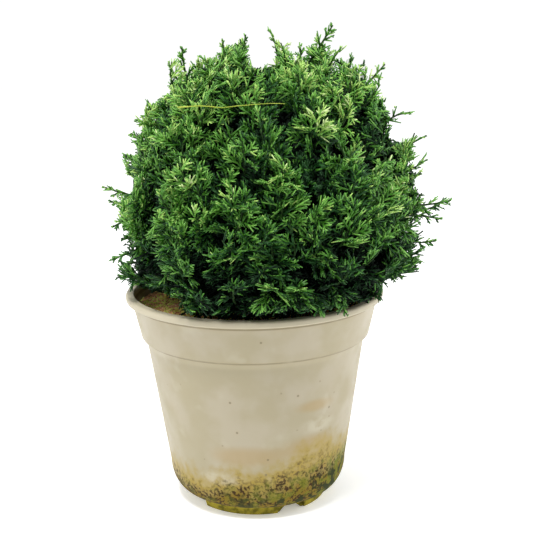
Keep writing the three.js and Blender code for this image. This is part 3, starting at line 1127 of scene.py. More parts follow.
@dataclass
class Crown:
    """The crown's outline, the masses that share it and the creases between them."""

    centre: np.ndarray = field(default_factory=lambda: np.array(CROWN_MIDDLE))
    across: float = 144.0
    up: float = 182.0
    down: float = 88.0
    squareness: float = 2.4
    unevenness: float = 0.035
    crease: float = 0.11
    crease_width: float = 22.0
    top_mass: tuple[float, float] = (13.0, 375.0)
    rings: tuple[Ring, ...] = (
        Ring("skirt", 5, 262.0, 84.0, 226.0, 206.0, 4.0),
        Ring("waist", 6, 250.0, 90.0, 290.0, 258.0, 7.0),
        Ring("shoulder", 4, 215.0, 57.0, 345.0, 292.0, 6.0),
    )
    trunk: Trunk = field(default_factory=Trunk)
    masses: list[Mass] = field(init=False)
    middles: np.ndarray = field(init=False)

    def __post_init__(self) -> None:
        """Places the masses."""
        self.masses = []
        for ring in self.rings:
            for i in range(ring.count):
                turn = math.radians(ring.first_azimuth + 360 / ring.count * i)
                across, deep = ring.radius * math.cos(turn), ring.radius * math.sin(turn)
                middle = np.array([across + self.centre[0], deep, ring.height])
                fork_z = ring.fork + (ring.stagger if i % 2 else -ring.stagger)
                share = (fork_z - self.trunk.ground) / (self.trunk.tip - self.trunk.ground)
                fork = self.trunk.points(np.array([share]))[0]
                self.masses.append(Mass(f"{ring.name}_{i + 1}", middle, fork))
        x, z = self.top_mass
        self.masses.append(Mass("crown_top", np.array([x, 0.0, z]), None))
        self.middles = np.array([mass.middle for mass in self.masses])

    def owner(self, points: np.ndarray) -> np.ndarray:
        """Gives the number of the mass in whose space each point lies."""
        return np.argmin(((points[:, None] - self.middles[None]) ** 2).sum(-1), axis=1)

    def room(self, points: np.ndarray, own: np.ndarray) -> np.ndarray:
        """Gives how far each point lies inside its mass's space.

        Args:
            points: The points.
            own: The number of each point's mass.

        Returns:
            Distances to the nearest plane between masses.
        """
        squares = ((points[:, None] - self.middles[None]) ** 2).sum(-1)
        mine = squares[np.arange(len(points)), own][:, None]
        apart = np.linalg.norm(self.middles[own][:, None] - self.middles[None], axis=-1)
        rooms = np.where(apart > 0, (squares - mine) / np.maximum(2 * apart, 1e-9), np.inf)
        return rooms.min(axis=1)

    def smooth_reach(self, ways: np.ndarray) -> np.ndarray:
        """Gives the outline's reach from the crown's centre along each way, before the creases.

        Args:
            ways: Unit vectors from the crown's centre.

        Returns:
            Distances in millimetres.
        """
        level = np.hypot(ways[:, 0], ways[:, 1]) / self.across
        upright = np.abs(ways[:, 2]) / np.where(ways[:, 2] > 0, self.up, self.down)
        turn = np.arctan2(ways[:, 1], ways[:, 0])
        wave = np.sin(3 * turn + 1) + np.sin(5 * turn + 4 * ways[:, 2])
        p = self.squareness
        return (1 + self.unevenness * wave / 2) * (level**p + upright**p) ** (-1 / p)

    def reach(self, ways: np.ndarray) -> tuple[np.ndarray, np.ndarray, np.ndarray]:
        """Gives the outline along each way.

        Args:
            ways: Unit vectors from the crown's centre.

        Returns:
            The reach with its creases, the owning mass, and how near a crease it is, from 0 to 1.
        """
        reach = self.smooth_reach(ways)
        points = self.centre + ways * reach[:, None]
        own = self.owner(points)
        near = 1 - np.clip(self.room(points, own) / self.crease_width, 0, 1)
        return reach * (1 - self.crease * near**2), own, near


MOUTH_RADIUS = 105.0  # inside it the leaves hang down to the compost, outside it to the rim
OVER_COMPOST = 191.0
OVER_RIM = 201.0
FRONT_LIFT = 0.28  # how much higher the leaves hang at the front for each millimetre past the mouth
RIM_CLEARANCE = 122.5  # radius of what hangs over the rim's outside


def ground_at(points: np.ndarray) -> np.ndarray:
    """Gives the lowest free height over the compost or the rim at each point.

    Args:
        points: The points.

    Returns:
        Heights in millimetres.
    """
    radius = np.hypot(points[:, 0], points[:, 1])
    front = np.clip(-1.6 * points[:, 1] / np.maximum(radius, 1) - 0.6, 0, 1)
    past = np.maximum(radius - MOUTH_RADIUS - 5, 0)
    return np.where(radius < MOUTH_RADIUS, OVER_COMPOST, OVER_RIM + FRONT_LIFT * front * past)


def outside_rim(points: np.ndarray) -> np.ndarray:
    """Tells which points are above the rim or well outside it."""
    return np.hypot(points[:, 0], points[:, 1]) > np.where(points[:, 2] < OVER_RIM + 1, RIM_CLEARANCE, 0)


# ---- The boughs, the twigs and the leaves ----


@dataclass
class Limb:
    """A leafy limb: the mass it belongs to, the tip it reaches and how it swings there."""

    mass: int
    tip: np.ndarray
    outward: np.ndarray
    swing: np.ndarray
    sweep: float
    depth: float
    roll: float
    width: float
    tone: float
    leafy: float  # how much of it carries sprays, in millimetres from the tip
    coarse: bool = False  # whether its sprays are the wider ones of the shaded inside
    spray: float = 26.0  # its longest spray
    hangs: bool = False  # whether it hangs over the rim
    free: bool = False  # whether it may stand in a gap
    heading: Optional[np.ndarray] = None  # the way its tip points, if not outwards


@dataclass
class LimbRule:
    """The seeded rule that deals limbs over the crown."""

    candidates: int
    seed: int
    depth: float
    inset: float  # how far under the outline the tips end
    jitter: float
    lowest: float
    tone: float
    leafy: float
    coarse: bool = False
    sweep: float = 1.15
    full_reach: float = 190.0  # where the outline reaches this far, every candidate grows
    roll: float = 0.45
    scatter: float = 0.5  # unevenness of the azimuths
    swings: tuple[float, float] = (1.1, -0.9)  # how far limbs swing up, and down where they hang low
    clearance: float = 5.0  # of the tips over the ground
    crease_shade: float = 1.3  # how much darker the leaves are in a crease: painted shade between the masses
    low_from: float = 0.2  # height of the outward way below which they are darker: painted shade under the crown
    low_shade: float = 0.9
    base_shade: float = 0.2

    def deal(self, crown: Crown) -> list[Limb]:
        """Deals the limbs.

        Args:
            crown: The crown that they fill.

        Returns:
            The limbs in their order of growth.
        """
        state = self.seed

        def random() -> float:
            """Draws the next number of a repeatable series.

            Returns:
                A number from 0 to 1.
            """
            nonlocal state
            state = (state * 1664525 + 1013904223) & 0xFFFFFFFF
            return state / 2**32

        limbs: list[Limb] = []
        due = 0.0
        for i in range(self.candidates):
            height = min(1.0, max(-1.0, 1 - (1 - self.lowest) * (i + random()) / self.candidates))
            azimuth = GOLDEN_ANGLE * i + self.scatter * random()
            level = math.sqrt(1 - height * height)
            way = np.array([[level * math.cos(azimuth), level * math.sin(azimuth), height]])
            due += float(crown.smooth_reach(way)[0] / self.full_reach) ** 2
            if due < 1:
                continue
            due -= 1
            reach, own, near = crown.reach(way)
            outward = way[0]
            length = float(reach[0]) - self.inset + (2 * random() - 1) * self.jitter * crown.across
            tip = crown.centre + outward * length
            turn = 2 * math.pi * random()
            swing = np.array([math.cos(turn), math.sin(turn), self.swings[0 if height > -0.2 else 1]])
            swing = swing - outward * float(swing @ outward)
            swing /= np.linalg.norm(swing)
            tip[2] = max(tip[2], float(ground_at(tip[None])[0]) + self.clearance)
            roll = (2 * random() - 1) * self.roll
            width = 0.85 + 0.3 * random()
            low = max(0.0, self.low_from - outward[2])
            # Painted shade and light: limbs in a crease or pointing down get darker greens, those pointing up
            # lighter ones.
            tone = self.tone - self.crease_shade * float(near[0]) ** 2
            tone = tone + outward[2] - self.base_shade - self.low_shade * low
            limbs.append(Limb(
                mass=int(own[0]), tip=tip, outward=outward, swing=swing, sweep=self.sweep, depth=self.depth,
                roll=roll, width=width, tone=tone, leafy=self.leafy, coarse=self.coarse,
            ))
        return limbs


# Long shoots of the outline: the tip's place, then how far it points across and up.
SHOOTS = (
    (-59, -16, 423, 0.08, 1.0), (-72, -12, 409, -0.45, 0.89), (-3, 8, 432, 0.29, 0.96),
    (19, -6, 435, -0.46, 0.89), (74, -9, 439, 0.54, 0.84), (83, 12, 419, 0.66, 0.75),
    (123, 14, 403, 0.69, 0.72), (143, -8, 361, 1.0, -0.05), (161, 10, 338, 0.91, 0.4),
    (158, -14, 319, 0.82, 0.57), (181, -12, 281, 0.97, 0.25), (176, 8, 260, 0.98, -0.22),
    (168, -10, 243, 0.98, 0.2), (135, -24, 214, 1.0, 0.09), (-135, -12, 300, -0.93, 0.36),
    (-110, 6, 346, -0.8, 0.6), (-114, -10, 327, -0.93, 0.38), (-105, 10, 358, -0.99, 0.14),
    (-93, -8, 372, -0.88, 0.47), (-132, 8, 283, -0.97, 0.24), (-129, -8, 262, -0.85, -0.52),
    (-130, -12, 232, -0.87, -0.49), (-126, 6, 221, -0.94, -0.34), (-128, -8, 214, -1.0, -0.08),
    (-123, 4, 249, -1.0, -0.09), (152, -20, 226, 0.9, -0.43), (174, 6, 274, 0.91, 0.41),
    (-24, 4, 427, -0.13, 0.99), (-39, -14, 411, -0.17, 0.99), (46, 6, 420, -0.12, 0.99),
    (104, 10, 406, 0.48, 0.88), (156, 8, 304, 0.74, 0.68), (-64, -70, 203, -0.3, -0.95),
    (-54, -75, 203, -0.1, -0.99),
)
# Tips of the shoots of the other sides, which point straight out.
BACK_TIPS = (
    (25, 158, 300), (66, 84, 405), (-84, 116, 236), (112, 104, 322), (-40, 128, 330), (90, 122, 250),
    (-70, 96, 370), (5, 140, 372), (130, 78, 262), (-112, 62, 322), (40, 150, 240), (96, 40, 408),
)
# Tips of the sprays that hang over the rim at the front.
HANGING_TIPS = ((76, -101, 203), (54, -115, 205), (68, -106, 210))

# Places where the sky, or the compost, shows between the sprays: across, height and radius in the plane
# through the pot's axis, with the front's line of sight running through them.
GAPS = (
    (-93, 389, 15), (148, 196, 15), (139, 348, 10), (7, 435, 10), (165, 298, 13), (133, 385, 15),
    (-38, 429, 15), (98, 418, 14), (129, 197, 9), (171, 215, 15), (-129, 314, 12), (159, 328, 8),
    (9, 417, 7), (49, 430, 9), (-119, 337, 10), (77, 427, 7), (59, 444, 12), (188, 267, 12),
    (-18, 436, 12), (-86, 411, 13), (-130, 239, 6), (172, 231, 9), (-108, 376, 14), (133, 395, 14),
    (-115, 296, 5), (111, 416, 14), (33, 435, 10), (-138, 219, 10), (157, 347, 8), (-138, 288, 8),
    (-129, 199, 8), (-52, 421, 7), (-115, 351, 7), (-66, 426, 6), (129, 370, 6), (16, 414, 6), (7, 409, 6),
    (166, 312, 6), (132, 341, 6), (-79, 385, 5), (167, 285, 6), (174, 268, 6), (-109, 333, 5), (17, 428, 5),
    (-80, 397, 5), (-131, 276, 5), (165, 253, 5), (-110, 360, 5), (-113, 302, 5), (155, 333, 5),
    (174, 255, 5), (-123, 203, 5), (125, 190, 5), (-91, 187, 11), (-76, 184, 8), (-104, 194, 8),
)
FRONT = (0.0, -1019.285, 453.61)  # where the front is seen from
NOTCH_LENGTH = 40.0  # how far a gap at the outline goes on outwards
NOTCH_FROM = 200.0  # lower gaps are round


def in_gap(points: np.ndarray, margin: float = 0.0) -> np.ndarray:
    """Tells which points lie in a gap between the sprays, or near one.

    Args:
        points: The points.
        margin: How near a gap counts, in millimetres.

    Returns:
        True for each point in a gap.
    """
    front = np.array(FRONT)
    share = front[1] / (front[1] - points[:, 1])
    seen = (front + (points - front) * share[:, None])[:, None, ::2]
    gaps = np.array(GAPS, float)
    outward = unit(gaps[:, :2] - np.array(CROWN_MIDDLE)[::2])
    along = ((seen - gaps[None, :, :2]) * outward[None]).sum(-1)
    along = np.clip(along, 0, np.where(gaps[:, 1] > NOTCH_FROM, NOTCH_LENGTH, 0)[None])
    apart = np.linalg.norm(seen - gaps[None, :, :2] - along[:, :, None] * outward[None], axis=-1)
    return (apart < gaps[None, :, 2] + margin).any(axis=1)


def shoots(crown: Crown) -> list[Limb]:
    """Gives the long shoots that stand out of the outline, and those that hang over the rim.

    Args:
        crown: The crown.

    Returns:
        Their limbs.
    """
    limbs = []
    given = [(row[:3], np.array([row[3], 0.0, row[4]])) for row in SHOOTS]
    for place, heading in given + [(row, None) for row in BACK_TIPS]:
        tip = np.array(place, float)
        limbs.append(Limb(
            mass=int(crown.owner(tip[None])[0]), tip=tip, outward=unit(tip - crown.centre),
            swing=np.array([0.0, 0.0, 1.0]), sweep=0.0, depth=64.0, roll=math.pi / 2, width=0.5, tone=3.6,
            leafy=46.0, spray=13.0, free=True, heading=heading,
        ))
    for place in HANGING_TIPS:
        tip = np.array(place, float)
        limbs.append(Limb(
            mass=int(crown.owner(tip[None])[0]), tip=tip, outward=unit(tip * np.array([1.0, 1.0, 0.0])),
            swing=np.array([0.0, 0.0, -1.0]), sweep=0.9, depth=26.0, roll=0.0, width=0.6, tone=3.5,
            leafy=26.0, spray=11.0, hangs=True, free=True,
        ))
    return limbs


@dataclass
class Fingers:
    """Leaf fingers as rows: base, heading, facing, length, width and tone."""

    base: np.ndarray
    heading: np.ndarray
    facing: np.ndarray
    length: np.ndarray
    width: np.ndarray
    tone: np.ndarray


@dataclass
class Spray:
    """A flat feathery spray: an axis with side branchlets, and smaller ones on them."""

    spacing: float = 3.2  # between side branchlets
    angle: float = 0.56
    width: float = 2.45
    finger: float = 9.0  # length of one leaf finger
    longest: float = 13.0  # of the side branchlets
    least: float = 3.6  # length of the side branchlets at the spray's tip
    overlap: float = 1.2  # a finger's length over the step to the next
    lift: float = 0.22  # how far strands may rise off the plane
    straighten: float = 0.82  # how much of its turn a strand keeps at each finger
    taper: float = 0.15
    lighten: float = 0.7  # how much younger a strand's last finger is
    leafy: tuple[float, float] = (0.1, 0.94)  # where side branchlets start and end on the axis
    forks: tuple[tuple[float, float], ...] = ((0.35, 0.52), (0.6, 0.4))  # places and lengths on a branchlet
    least_fork: float = 3.0
    variants: int = 6
    seed: int = 77
    lengths: tuple[float, ...] = (8.0, 11.0, 14.0, 18.0, 22.0, 27.0)

    def pattern(self, length: float, random: np.random.Generator) -> np.ndarray:
        """Lays out one spray in its own plane.

        Args:
            length: The spray's length.
            random: The source of its unevenness.

        Returns:
            Rows of along, across, off the plane, the three parts of the heading, length, width, tone and
            the number of the row that each grows from, which is -1 for the first.
        """
        rows: list[list[float]] = []

        def strand(
            x: float, y: float, turn: float, long: float, wide: float, tone: float, parent: int
        ) -> None:
            """Adds a run of fingers, each growing out of the last and bending towards the axis.

            Args:
                x: Where it starts along the axis.
                y: Where it starts across.
                turn: Its heading from the axis.
                long: Its length.
                wide: Its width.
                tone: How young it is.
                parent: The row that it grows from.
            """
            count = max(1, round(long / self.finger))
            rise = random.uniform(-self.lift, self.lift)
            for i in range(count):
                step = long / count
                heading = [math.cos(turn), math.sin(turn), rise]
                end = i / count
                rows.append([
                    x, y, rise * step * i, *heading, step * self.overlap, wide * (1 - self.taper * end),
                    tone + self.lighten * end, parent,
                ])
                parent = len(rows) - 1
                x += step * math.cos(turn)
                y += step * math.sin(turn)
                turn *= self.straighten

        strand(0, 0, random.uniform(-0.05, 0.05), length, self.width, 0.0, -1)
        axis = len(rows)
        place = self.leafy[0] * length
        side = 1 if random.random() < 0.5 else -1
        while place < self.leafy[1] * length:
            left = length - place
            long = min(0.58 * left + self.least, self.longest, 6.0 + 0.9 * place) * random.uniform(0.85, 1.15)
            turn = side * (self.angle * (0.8 + 0.25 * left / length) + random.uniform(-0.08, 0.08))
            tone = 0.3 + 0.5 * place / length
            first = len(rows)
            strand(place, 0, turn, long, self.width * 0.9, tone, min(int(axis * place / length), axis - 1))
            branch = len(rows) - first
            for (share, part), twig_side in zip(self.forks, (side, -side)):
                if long * part > self.least_fork:
                    x = place + share * long * math.cos(turn)
                    y = share * long * math.sin(turn)
                    twig = turn + twig_side * random.uniform(0.4, 0.55)
                    reach = long * part * random.uniform(0.9, 1.2)
                    strand(x, y, twig, reach, self.width * 0.8, tone + 0.5, first + int(branch * share))
            place += self.spacing * random.uniform(0.85, 1.1)
            side = -side
        return np.array(rows)

    def patterns(self) -> list[list[np.ndarray]]:
        """Lays out the variants of each length."""
        random = np.random.default_rng(self.seed)
        return [[self.pattern(length, random) for _ in range(self.variants)] for length in self.lengths]


@dataclass
class Foliage:
    """Grows the boughs, limbs, twigs and leaf sprays of the crown."""

    crown: Crown
    spray: Spray = field(default_factory=Spray)
    inner_spray: Spray = field(default_factory=lambda: Spray(spacing=4.5, width=3.6, finger=12.0))
    shoot_spray: Spray = field(
        default_factory=lambda: Spray(spacing=3.4, angle=0.5, width=2.5, longest=5.5, least=0.8, seed=91)
    )
    # The layers of limbs from the outside in, and the darker ones behind the notches of the top; the inner
    # layers have darker tones, a painted shade. Each has its candidates, seed, depth, inset, jitter, lowest
    # way, tone and leafy length.
    rules: tuple[LimbRule, ...] = (
        LimbRule(200, 20417, 44.0, 0.0, 0.04, -0.42, 3.2, 52.0, sweep=0.4),
        LimbRule(290, 5521, 42.0, 12.0, 0.04, -0.45, 2.7, 50.0),
        LimbRule(330, 911, 38.0, 25.0, 0.05, -0.5, 2.0, 42.0),
        LimbRule(240, 4177, 32.0, 36.0, 0.05, -0.6, 0.9, 40.0, True),
        LimbRule(170, 733, 30.0, 60.0, 0.06, -0.6, 0.2, 44.0, True),
        LimbRule(90, 1201, 22.0, 88.0, 0.06, -0.4, 0.0, 36.0, True),
        LimbRule(70, 3301, 30.0, 44.0, 0.05, 0.55, 1.4, 36.0, True),
    )
    stations: tuple[float, ...] = (2.0, 6.0, 10.5, 15.5, 21.0, 27.0, 33.5, 40.5, 48.0, 56.0)
    fork_angle: float = 0.78
    flatness: float = 0.4
    droop: float = 0.3
    flow: float = 1.1  # how strongly limbs follow the lines that fan out from the foot of the trunk
    flow_from: tuple[float, float, float] = (10.0, 0.0, 205.0)
    bough_sprays: int = 16
    bough_spray_length: float = 25.0
    bough_points: int = 40
    bough_sides: int = 16
    bough_radii: tuple[float, float] = (3.9, 2.3)
    limb_points: int = 15
    least_points: int = 7  # of a limb that is cut short by a gap
    limb_radii: tuple[float, float] = (1.5, 0.7)
    elbow: float = 0.4  # how far back a limb's elbow is, as a share of its depth
    bend_start: float = 0.75  # how far a limb leaves its bough straight, as a share of the way to its root
    hanging_rise: tuple[float, float] = (24.0, 14.0)  # how far hanging limbs rise before they drop
    bare_root: float = 3.0
    tip_back: float = 12.0  # how far behind the tip the last spray starts
    tip_length: float = 15.0
    look_ahead: float = 6.0
    slim_growth: tuple[float, float] = (3.5, 0.45)  # of side sprays: the first, and the gain to a millimetre
    full_growth: tuple[float, float] = (7.5, 0.52)
    length_spread: tuple[float, float] = (0.85, 1.15)
    fork_spread: tuple[float, float] = (0.8, 1.15)
    tilt: float = 0.35  # how far sprays turn out of their limb's plane
    bend: tuple[float, float] = (-0.25, 0.35)
    margins: tuple[float, float] = (2.0, 4.0)  # how far sprays may pass the outline, and shoots
    # How the greens are dealt out, in steps of the tones.
    limb_shade: float = 0.35
    spray_shade: float = 0.3
    finger_shade: float = 0.5
    base_shade: float = 0.8
    tip_gain: float = 1.5
    # Painted light: sprays that head upward get lighter greens, as if lit from above.
    painted_top_light: float = 0.7
    skin: float = 5.0  # how deep the outermost leaves reach
    fade: float = 0.085  # how much darker the leaves are for each millimetre that they are buried: painted shade deep in the crown, with some older growth
    light_margin: float = 9.0  # how near a gap the light still comes in
    light_gain: float = 1.8
    leaf_sides: int = 3
    leaf_tip: float = 0.26  # radius of a finger's blunt tip, for one as wide as 1
    leaf_flatness: float = 0.7
    seed: int = 5

    def bough_controls(self, mass: Mass) -> np.ndarray:
        """Gives the control points of a mass's bough, or of the leader for the top mass.

        Args:
            mass: The mass.

        Returns:
            The control points.
        """
        if mass.fork is None:
            foot = self.crown.trunk.points(np.array([1.0]))[0]
            end = np.array([foot[0], foot[1], mass.middle[2]])
            return np.array([foot, (foot + end) / 2, end])
        elbow = (mass.fork + mass.middle) / 2
        elbow[2] = mass.fork[2] + 2
        return np.array([mass.fork, elbow, mass.middle])

    def limb_controls(self, limb: Limb) -> np.ndarray:
        """Gives the control points of a limb, from its bough to its tip.

        Args:
            limb: The limb.

        Returns:
            The control points.
        """
        rise = limb.tip - np.array(self.flow_from)
        flow = unit(limb.swing + self.flow * unit(rise - limb.outward * float(rise @ limb.outward)))
        aim = limb.tip - flow * limb.sweep * limb.depth
        root = aim - limb.outward * limb.depth
        elbow = aim - limb.outward * self.elbow * limb.depth
        line = bezier(self.bough_controls(self.crown.masses[limb.mass]), np.linspace(0.55, 1, 10))
        anchor = line[np.argmin(np.linalg.norm(line - root, axis=1))]
        if limb.hangs:
            high, low = (np.array([0.0, 0.0, up]) for up in self.hanging_rise)
            return np.array([anchor, limb.tip * np.array([0.9, 0.9, 1.0]) + high, limb.tip + low, limb.tip])
        if limb.heading is not None:
            elbow = limb.tip - limb.heading * self.elbow * limb.depth
            root = elbow - limb.outward * (1 - self.elbow) * limb.depth
        controls = np.array([anchor, anchor + self.bend_start * (root - anchor), elbow, limb.tip])
        controls[:, 2] = np.maximum(controls[:, 2], ground_at(controls) + 4)
        return controls

    def grow(self) -> tuple[list[tuple[np.ndarray, np.ndarray]], dict[int, Fingers]]:
        """Grows every limb and its sprays.

        Returns:
            The limbs' lines with their radii, and the leaf fingers of each mass.
        """
        random = np.random.default_rng(self.seed)
        fine, coarse, slim = self.spray.patterns(), self.inner_spray.patterns(), self.shoot_spray.patterns()
        lines: list[tuple[np.ndarray, np.ndarray]] = []
        grown: dict[int, list[np.ndarray]] = {i: [] for i in range(len(self.crown.masses))}
        limbs = shoots(self.crown)
        for rule in self.rules:
            limbs += rule.deal(self.crown)
        for limb in limbs:
            line = bezier(self.limb_controls(limb), np.linspace(0, 1, self.limb_points))
            shade = random.normal(0, self.limb_shade)
            cut = in_gap(line)
            if cut.any() and not limb.free:
                whole = int(np.argmax(cut))
                if whole < self.least_points:
                    continue
                line = line[:whole]
            steps = np.linalg.norm(np.diff(line, axis=0), axis=1)
            travelled = np.concatenate([[0], np.cumsum(steps)])
            lines.append((line, np.interp(travelled, [0, travelled[-1]], self.limb_radii)))
            patterns = coarse if limb.coarse else slim if limb.free else fine
            self.dress_limb(grown, limb, line, travelled, random, patterns, shade)
        self.dress_boughs(grown, random, coarse)
        fingers = {}
        for index, rows in grown.items():
            table = np.concatenate(rows)
            fingers[index] = Fingers(
                table[:, 0:3], table[:, 3:6], table[:, 6:9], table[:, 9], table[:, 10], table[:, 11]
            )
        return lines, fingers

    def dress_limb(
        self, grown: dict[int, list[np.ndarray]], limb: Limb, line: np.ndarray, travelled: np.ndarray,
        random: np.random.Generator, patterns: list[list[np.ndarray]], shade: float,
    ) -> None:
        """Sets a spray at a limb's tip, and others to its left and right in turn.

        Args:
            grown: Finger rows of each mass.
            limb: The limb.
            line: Points along it.
            travelled: How far along each point is.
            random: The source of its unevenness.
            patterns: The laid out sprays of each length.
            shade: How much lighter it is than others.
        """
        total = travelled[-1]
        across = np.cross(limb.outward, unit(line[-1] - line[4]))
        across = unit(across if np.linalg.norm(across) > 0.1 else np.array([1.0, 0.2, 0.1]))
        axis = unit(line[-1] - line[-5])
        normal = unit(np.cross(axis, across))
        across, normal = (
            across * math.cos(limb.roll) + normal * math.sin(limb.roll),
            normal * math.cos(limb.roll) - across * math.sin(limb.roll),
        )
        slim = limb.free and not limb.hangs
        first, gain = self.slim_growth if slim else self.full_growth
        side = 1.0
        for station in (-1.0, *self.stations):  # the first is the tip's own
            if station > min(limb.leafy, total - self.bare_root):
                break
            at = total - (self.tip_back if station < 0 else station)
            base = np.array([np.interp(at, travelled, line[:, k]) for k in range(3)])
            near = min(at + self.look_ahead, total)
            ahead = np.array([np.interp(near, travelled, line[:, k]) for k in range(3)])
            tangent = unit(ahead - base) if at < total - 1 else axis
            if station < 0:
                way, length = tangent, self.tip_length
            else:
                turn = self.fork_angle * random.uniform(*self.fork_spread)
                tilt = random.normal(0, self.flatness)
                sideways = side * (across * math.cos(tilt) + normal * math.sin(tilt))
                way = unit(tangent * math.cos(turn) + sideways * math.sin(turn))
                length = min(limb.spray, first + gain * station)
                length = length * random.uniform(*self.length_spread) * (0.7 + 0.3 * limb.width)
                way = unit(way - np.array([0.0, 0.0, self.droop * (1 - limb.outward[2])]))
                side = -side
            self.add_spray(grown, limb, base, way, normal, length, random, patterns, shade)

    def dress_boughs(
        self, grown: dict[int, list[np.ndarray]], random: np.random.Generator,
        patterns: list[list[np.ndarray]],
    ) -> None:
        """Sets old sprays along the boughs, in dark greens that paint shade, so that the middle of the crown
        is dark.

        Args:
            grown: Finger rows of each mass.
            random: The source of their unevenness.
            patterns: The laid out sprays of each length.
        """
        for number, mass in enumerate(self.crown.masses):
            line = bezier(self.bough_controls(mass), np.linspace(0.3, 1, self.bough_sprays))
            for base in line:
                way = unit(random.normal(0, 1, 3))
                normal = unit(np.cross(way, random.normal(0, 1, 3)))
                limb = Limb(
                    mass=number, tip=base, outward=way, swing=normal, sweep=0, depth=0, roll=0, width=1.0,
                    tone=1.2, leafy=0,
                )
                self.add_spray(grown, limb, base, way, normal, self.bough_spray_length, random, patterns, 0)

    def add_spray(
        self, grown: dict[int, list[np.ndarray]], limb: Limb, base: np.ndarray, way: np.ndarray,
        normal: np.ndarray, length: float, random: np.random.Generator, patterns: list[list[np.ndarray]],
        shade: float,
    ) -> None:
        """Adds one spray to its mass, held inside the crown's reach.

        Args:
            grown: Finger rows of each mass.
            limb: The limb that carries the spray.
            base: Where the spray leaves the limb.
            way: The spray's heading.
            normal: Which way its face looks.
            length: Its length.
            random: The source of its unevenness.
            patterns: The laid out sprays of each length.
            shade: How much lighter its limb is than others.
        """
        flat = normal + random.normal(0, self.tilt, 3)
        flat = unit(flat - way * float(flat @ way))
        beside = np.cross(flat, way)
        lengths = np.array(self.spray.lengths)
        kind = int(np.argmin(np.abs(lengths - length)))
        pattern = patterns[kind][int(random.integers(len(patterns[kind])))]
        scale = length / lengths[kind]
        mirror = 1.0 if random.random() < 0.5 else -1.0
        bend = random.uniform(*self.bend) / length
        u, v, w = pattern[:, 0] * scale, pattern[:, 1] * scale * mirror, pattern[:, 2]
        du, dv, dw = pattern[:, 3], pattern[:, 4] * mirror, pattern[:, 5] + 2 * bend * u
        w = w + bend * u * u
        points = base + u[:, None] * way + v[:, None] * beside + w[:, None] * flat
        heading = unit(du[:, None] * way + dv[:, None] * beside + dw[:, None] * flat)
        long = pattern[:, 6] * scale
        ends = points + heading * long[:, None]
        out = ends - self.crown.centre
        far = np.linalg.norm(out, axis=1)
        reach = self.crown.reach(out / far[:, None])[0]
        slack = np.linalg.norm(limb.tip - self.crown.centre) - self.crown.reach(limb.outward[None])[0][0]
        kept = far < reach + max(slack, 0) + self.margins[limb.free]
        kept &= (ends[:, 2] > ground_at(ends) + 1) & (points[:, 2] > ground_at(points) + 1)
        if not limb.free:
            kept &= ~(in_gap(ends) | in_gap(points) | in_gap((points + ends) / 2))
        if limb.hangs:
            kept = outside_rim(ends) & outside_rim(points)
        parents = pattern[:, 9].astype(int)
        while not kept.all():  # a finger whose parent is cut goes too
            held = kept & ((parents < 0) | kept[parents])
            if (held == kept).all():
                break
            kept = held
        # Leaves buried under the outline get darker greens and upward sprays lighter ones: painted shade and
        # painted light.
        buried = 0.0 if limb.free else max(0.0, float(np.mean(reach - far)) - self.skin)
        old = self.fade * buried
        tone = limb.tone + shade + self.tip_gain * pattern[:, 8] - self.base_shade
        tone = tone + random.normal(0, self.spray_shade) - old
        tone = tone + self.painted_top_light * way[2] + random.normal(0, self.finger_shade, len(tone))
        tone = tone + min(self.light_gain, old) * in_gap(points, self.light_margin)
        tone = np.clip(np.round(tone), 0, len(Tone) - 1)
        facing = np.repeat(flat[None], len(points), 0)
        rows = np.column_stack([points, heading, facing, long, pattern[:, 7], tone])
        grown[limb.mass].append(rows[kept])

    def leaf_tree(self, materials: Sequence[bpy.types.Material]) -> bpy.types.NodeTree:
        """Builds the tree that puts a blunt leaf finger on every point.

        Args:
            materials: The greens, in the order of the tones.

        Returns:
            The tree.
        """
        tree = new_geometry_tree("leaf_fingers", [("Sides", "NodeSocketInt"), ("Tip", "NodeSocketFloat")])
        given = add_node(tree, "NodeGroupInput").outputs
        finger = add_node(
            tree, "GeometryNodeMeshCone", {"fill_type": "NGON"},
            {"Vertices": given["Sides"], "Radius Top": given["Tip"], "Radius Bottom": 0.5, "Depth": 1.0},
        )
        read = {
            name: add_node(tree, "GeometryNodeInputNamedAttribute", {"data_type": kind}, {"Name": name})
            for name, kind in (
                ("heading", "FLOAT_VECTOR"), ("facing", "FLOAT_VECTOR"), ("size", "FLOAT_VECTOR"),
                ("tone", "INT"),
            )
        }
        aimed = add_node(
            tree, "FunctionNodeAlignRotationToVector", {"axis": "Z"}, {"Vector": read["heading"]}
        )
        faced = add_node(
            tree, "FunctionNodeAlignRotationToVector", {"axis": "Y", "pivot_axis": "Z"},
            {"Rotation": aimed, "Vector": read["facing"]},
        )
        placed = add_node(
            tree, "GeometryNodeInstanceOnPoints",
            inputs={
                "Points": given["Geometry"], "Instance": finger, "Rotation": faced, "Scale": read["size"],
            },
        )
        geometry = add_node(tree, "GeometryNodeRealizeInstances", inputs={0: placed})
        for number, material in enumerate(materials):
            chosen = add_node(
                tree, "FunctionNodeCompare", {"data_type": "INT", "operation": "EQUAL"},
                {2: read["tone"], 3: number},
            )
            geometry = add_node(
                tree, "GeometryNodeSetMaterial",
                inputs={"Geometry": geometry, "Selection": chosen, "Material": material},
            )
        add_node(tree, "NodeGroupOutput", inputs={0: geometry})
        return tree

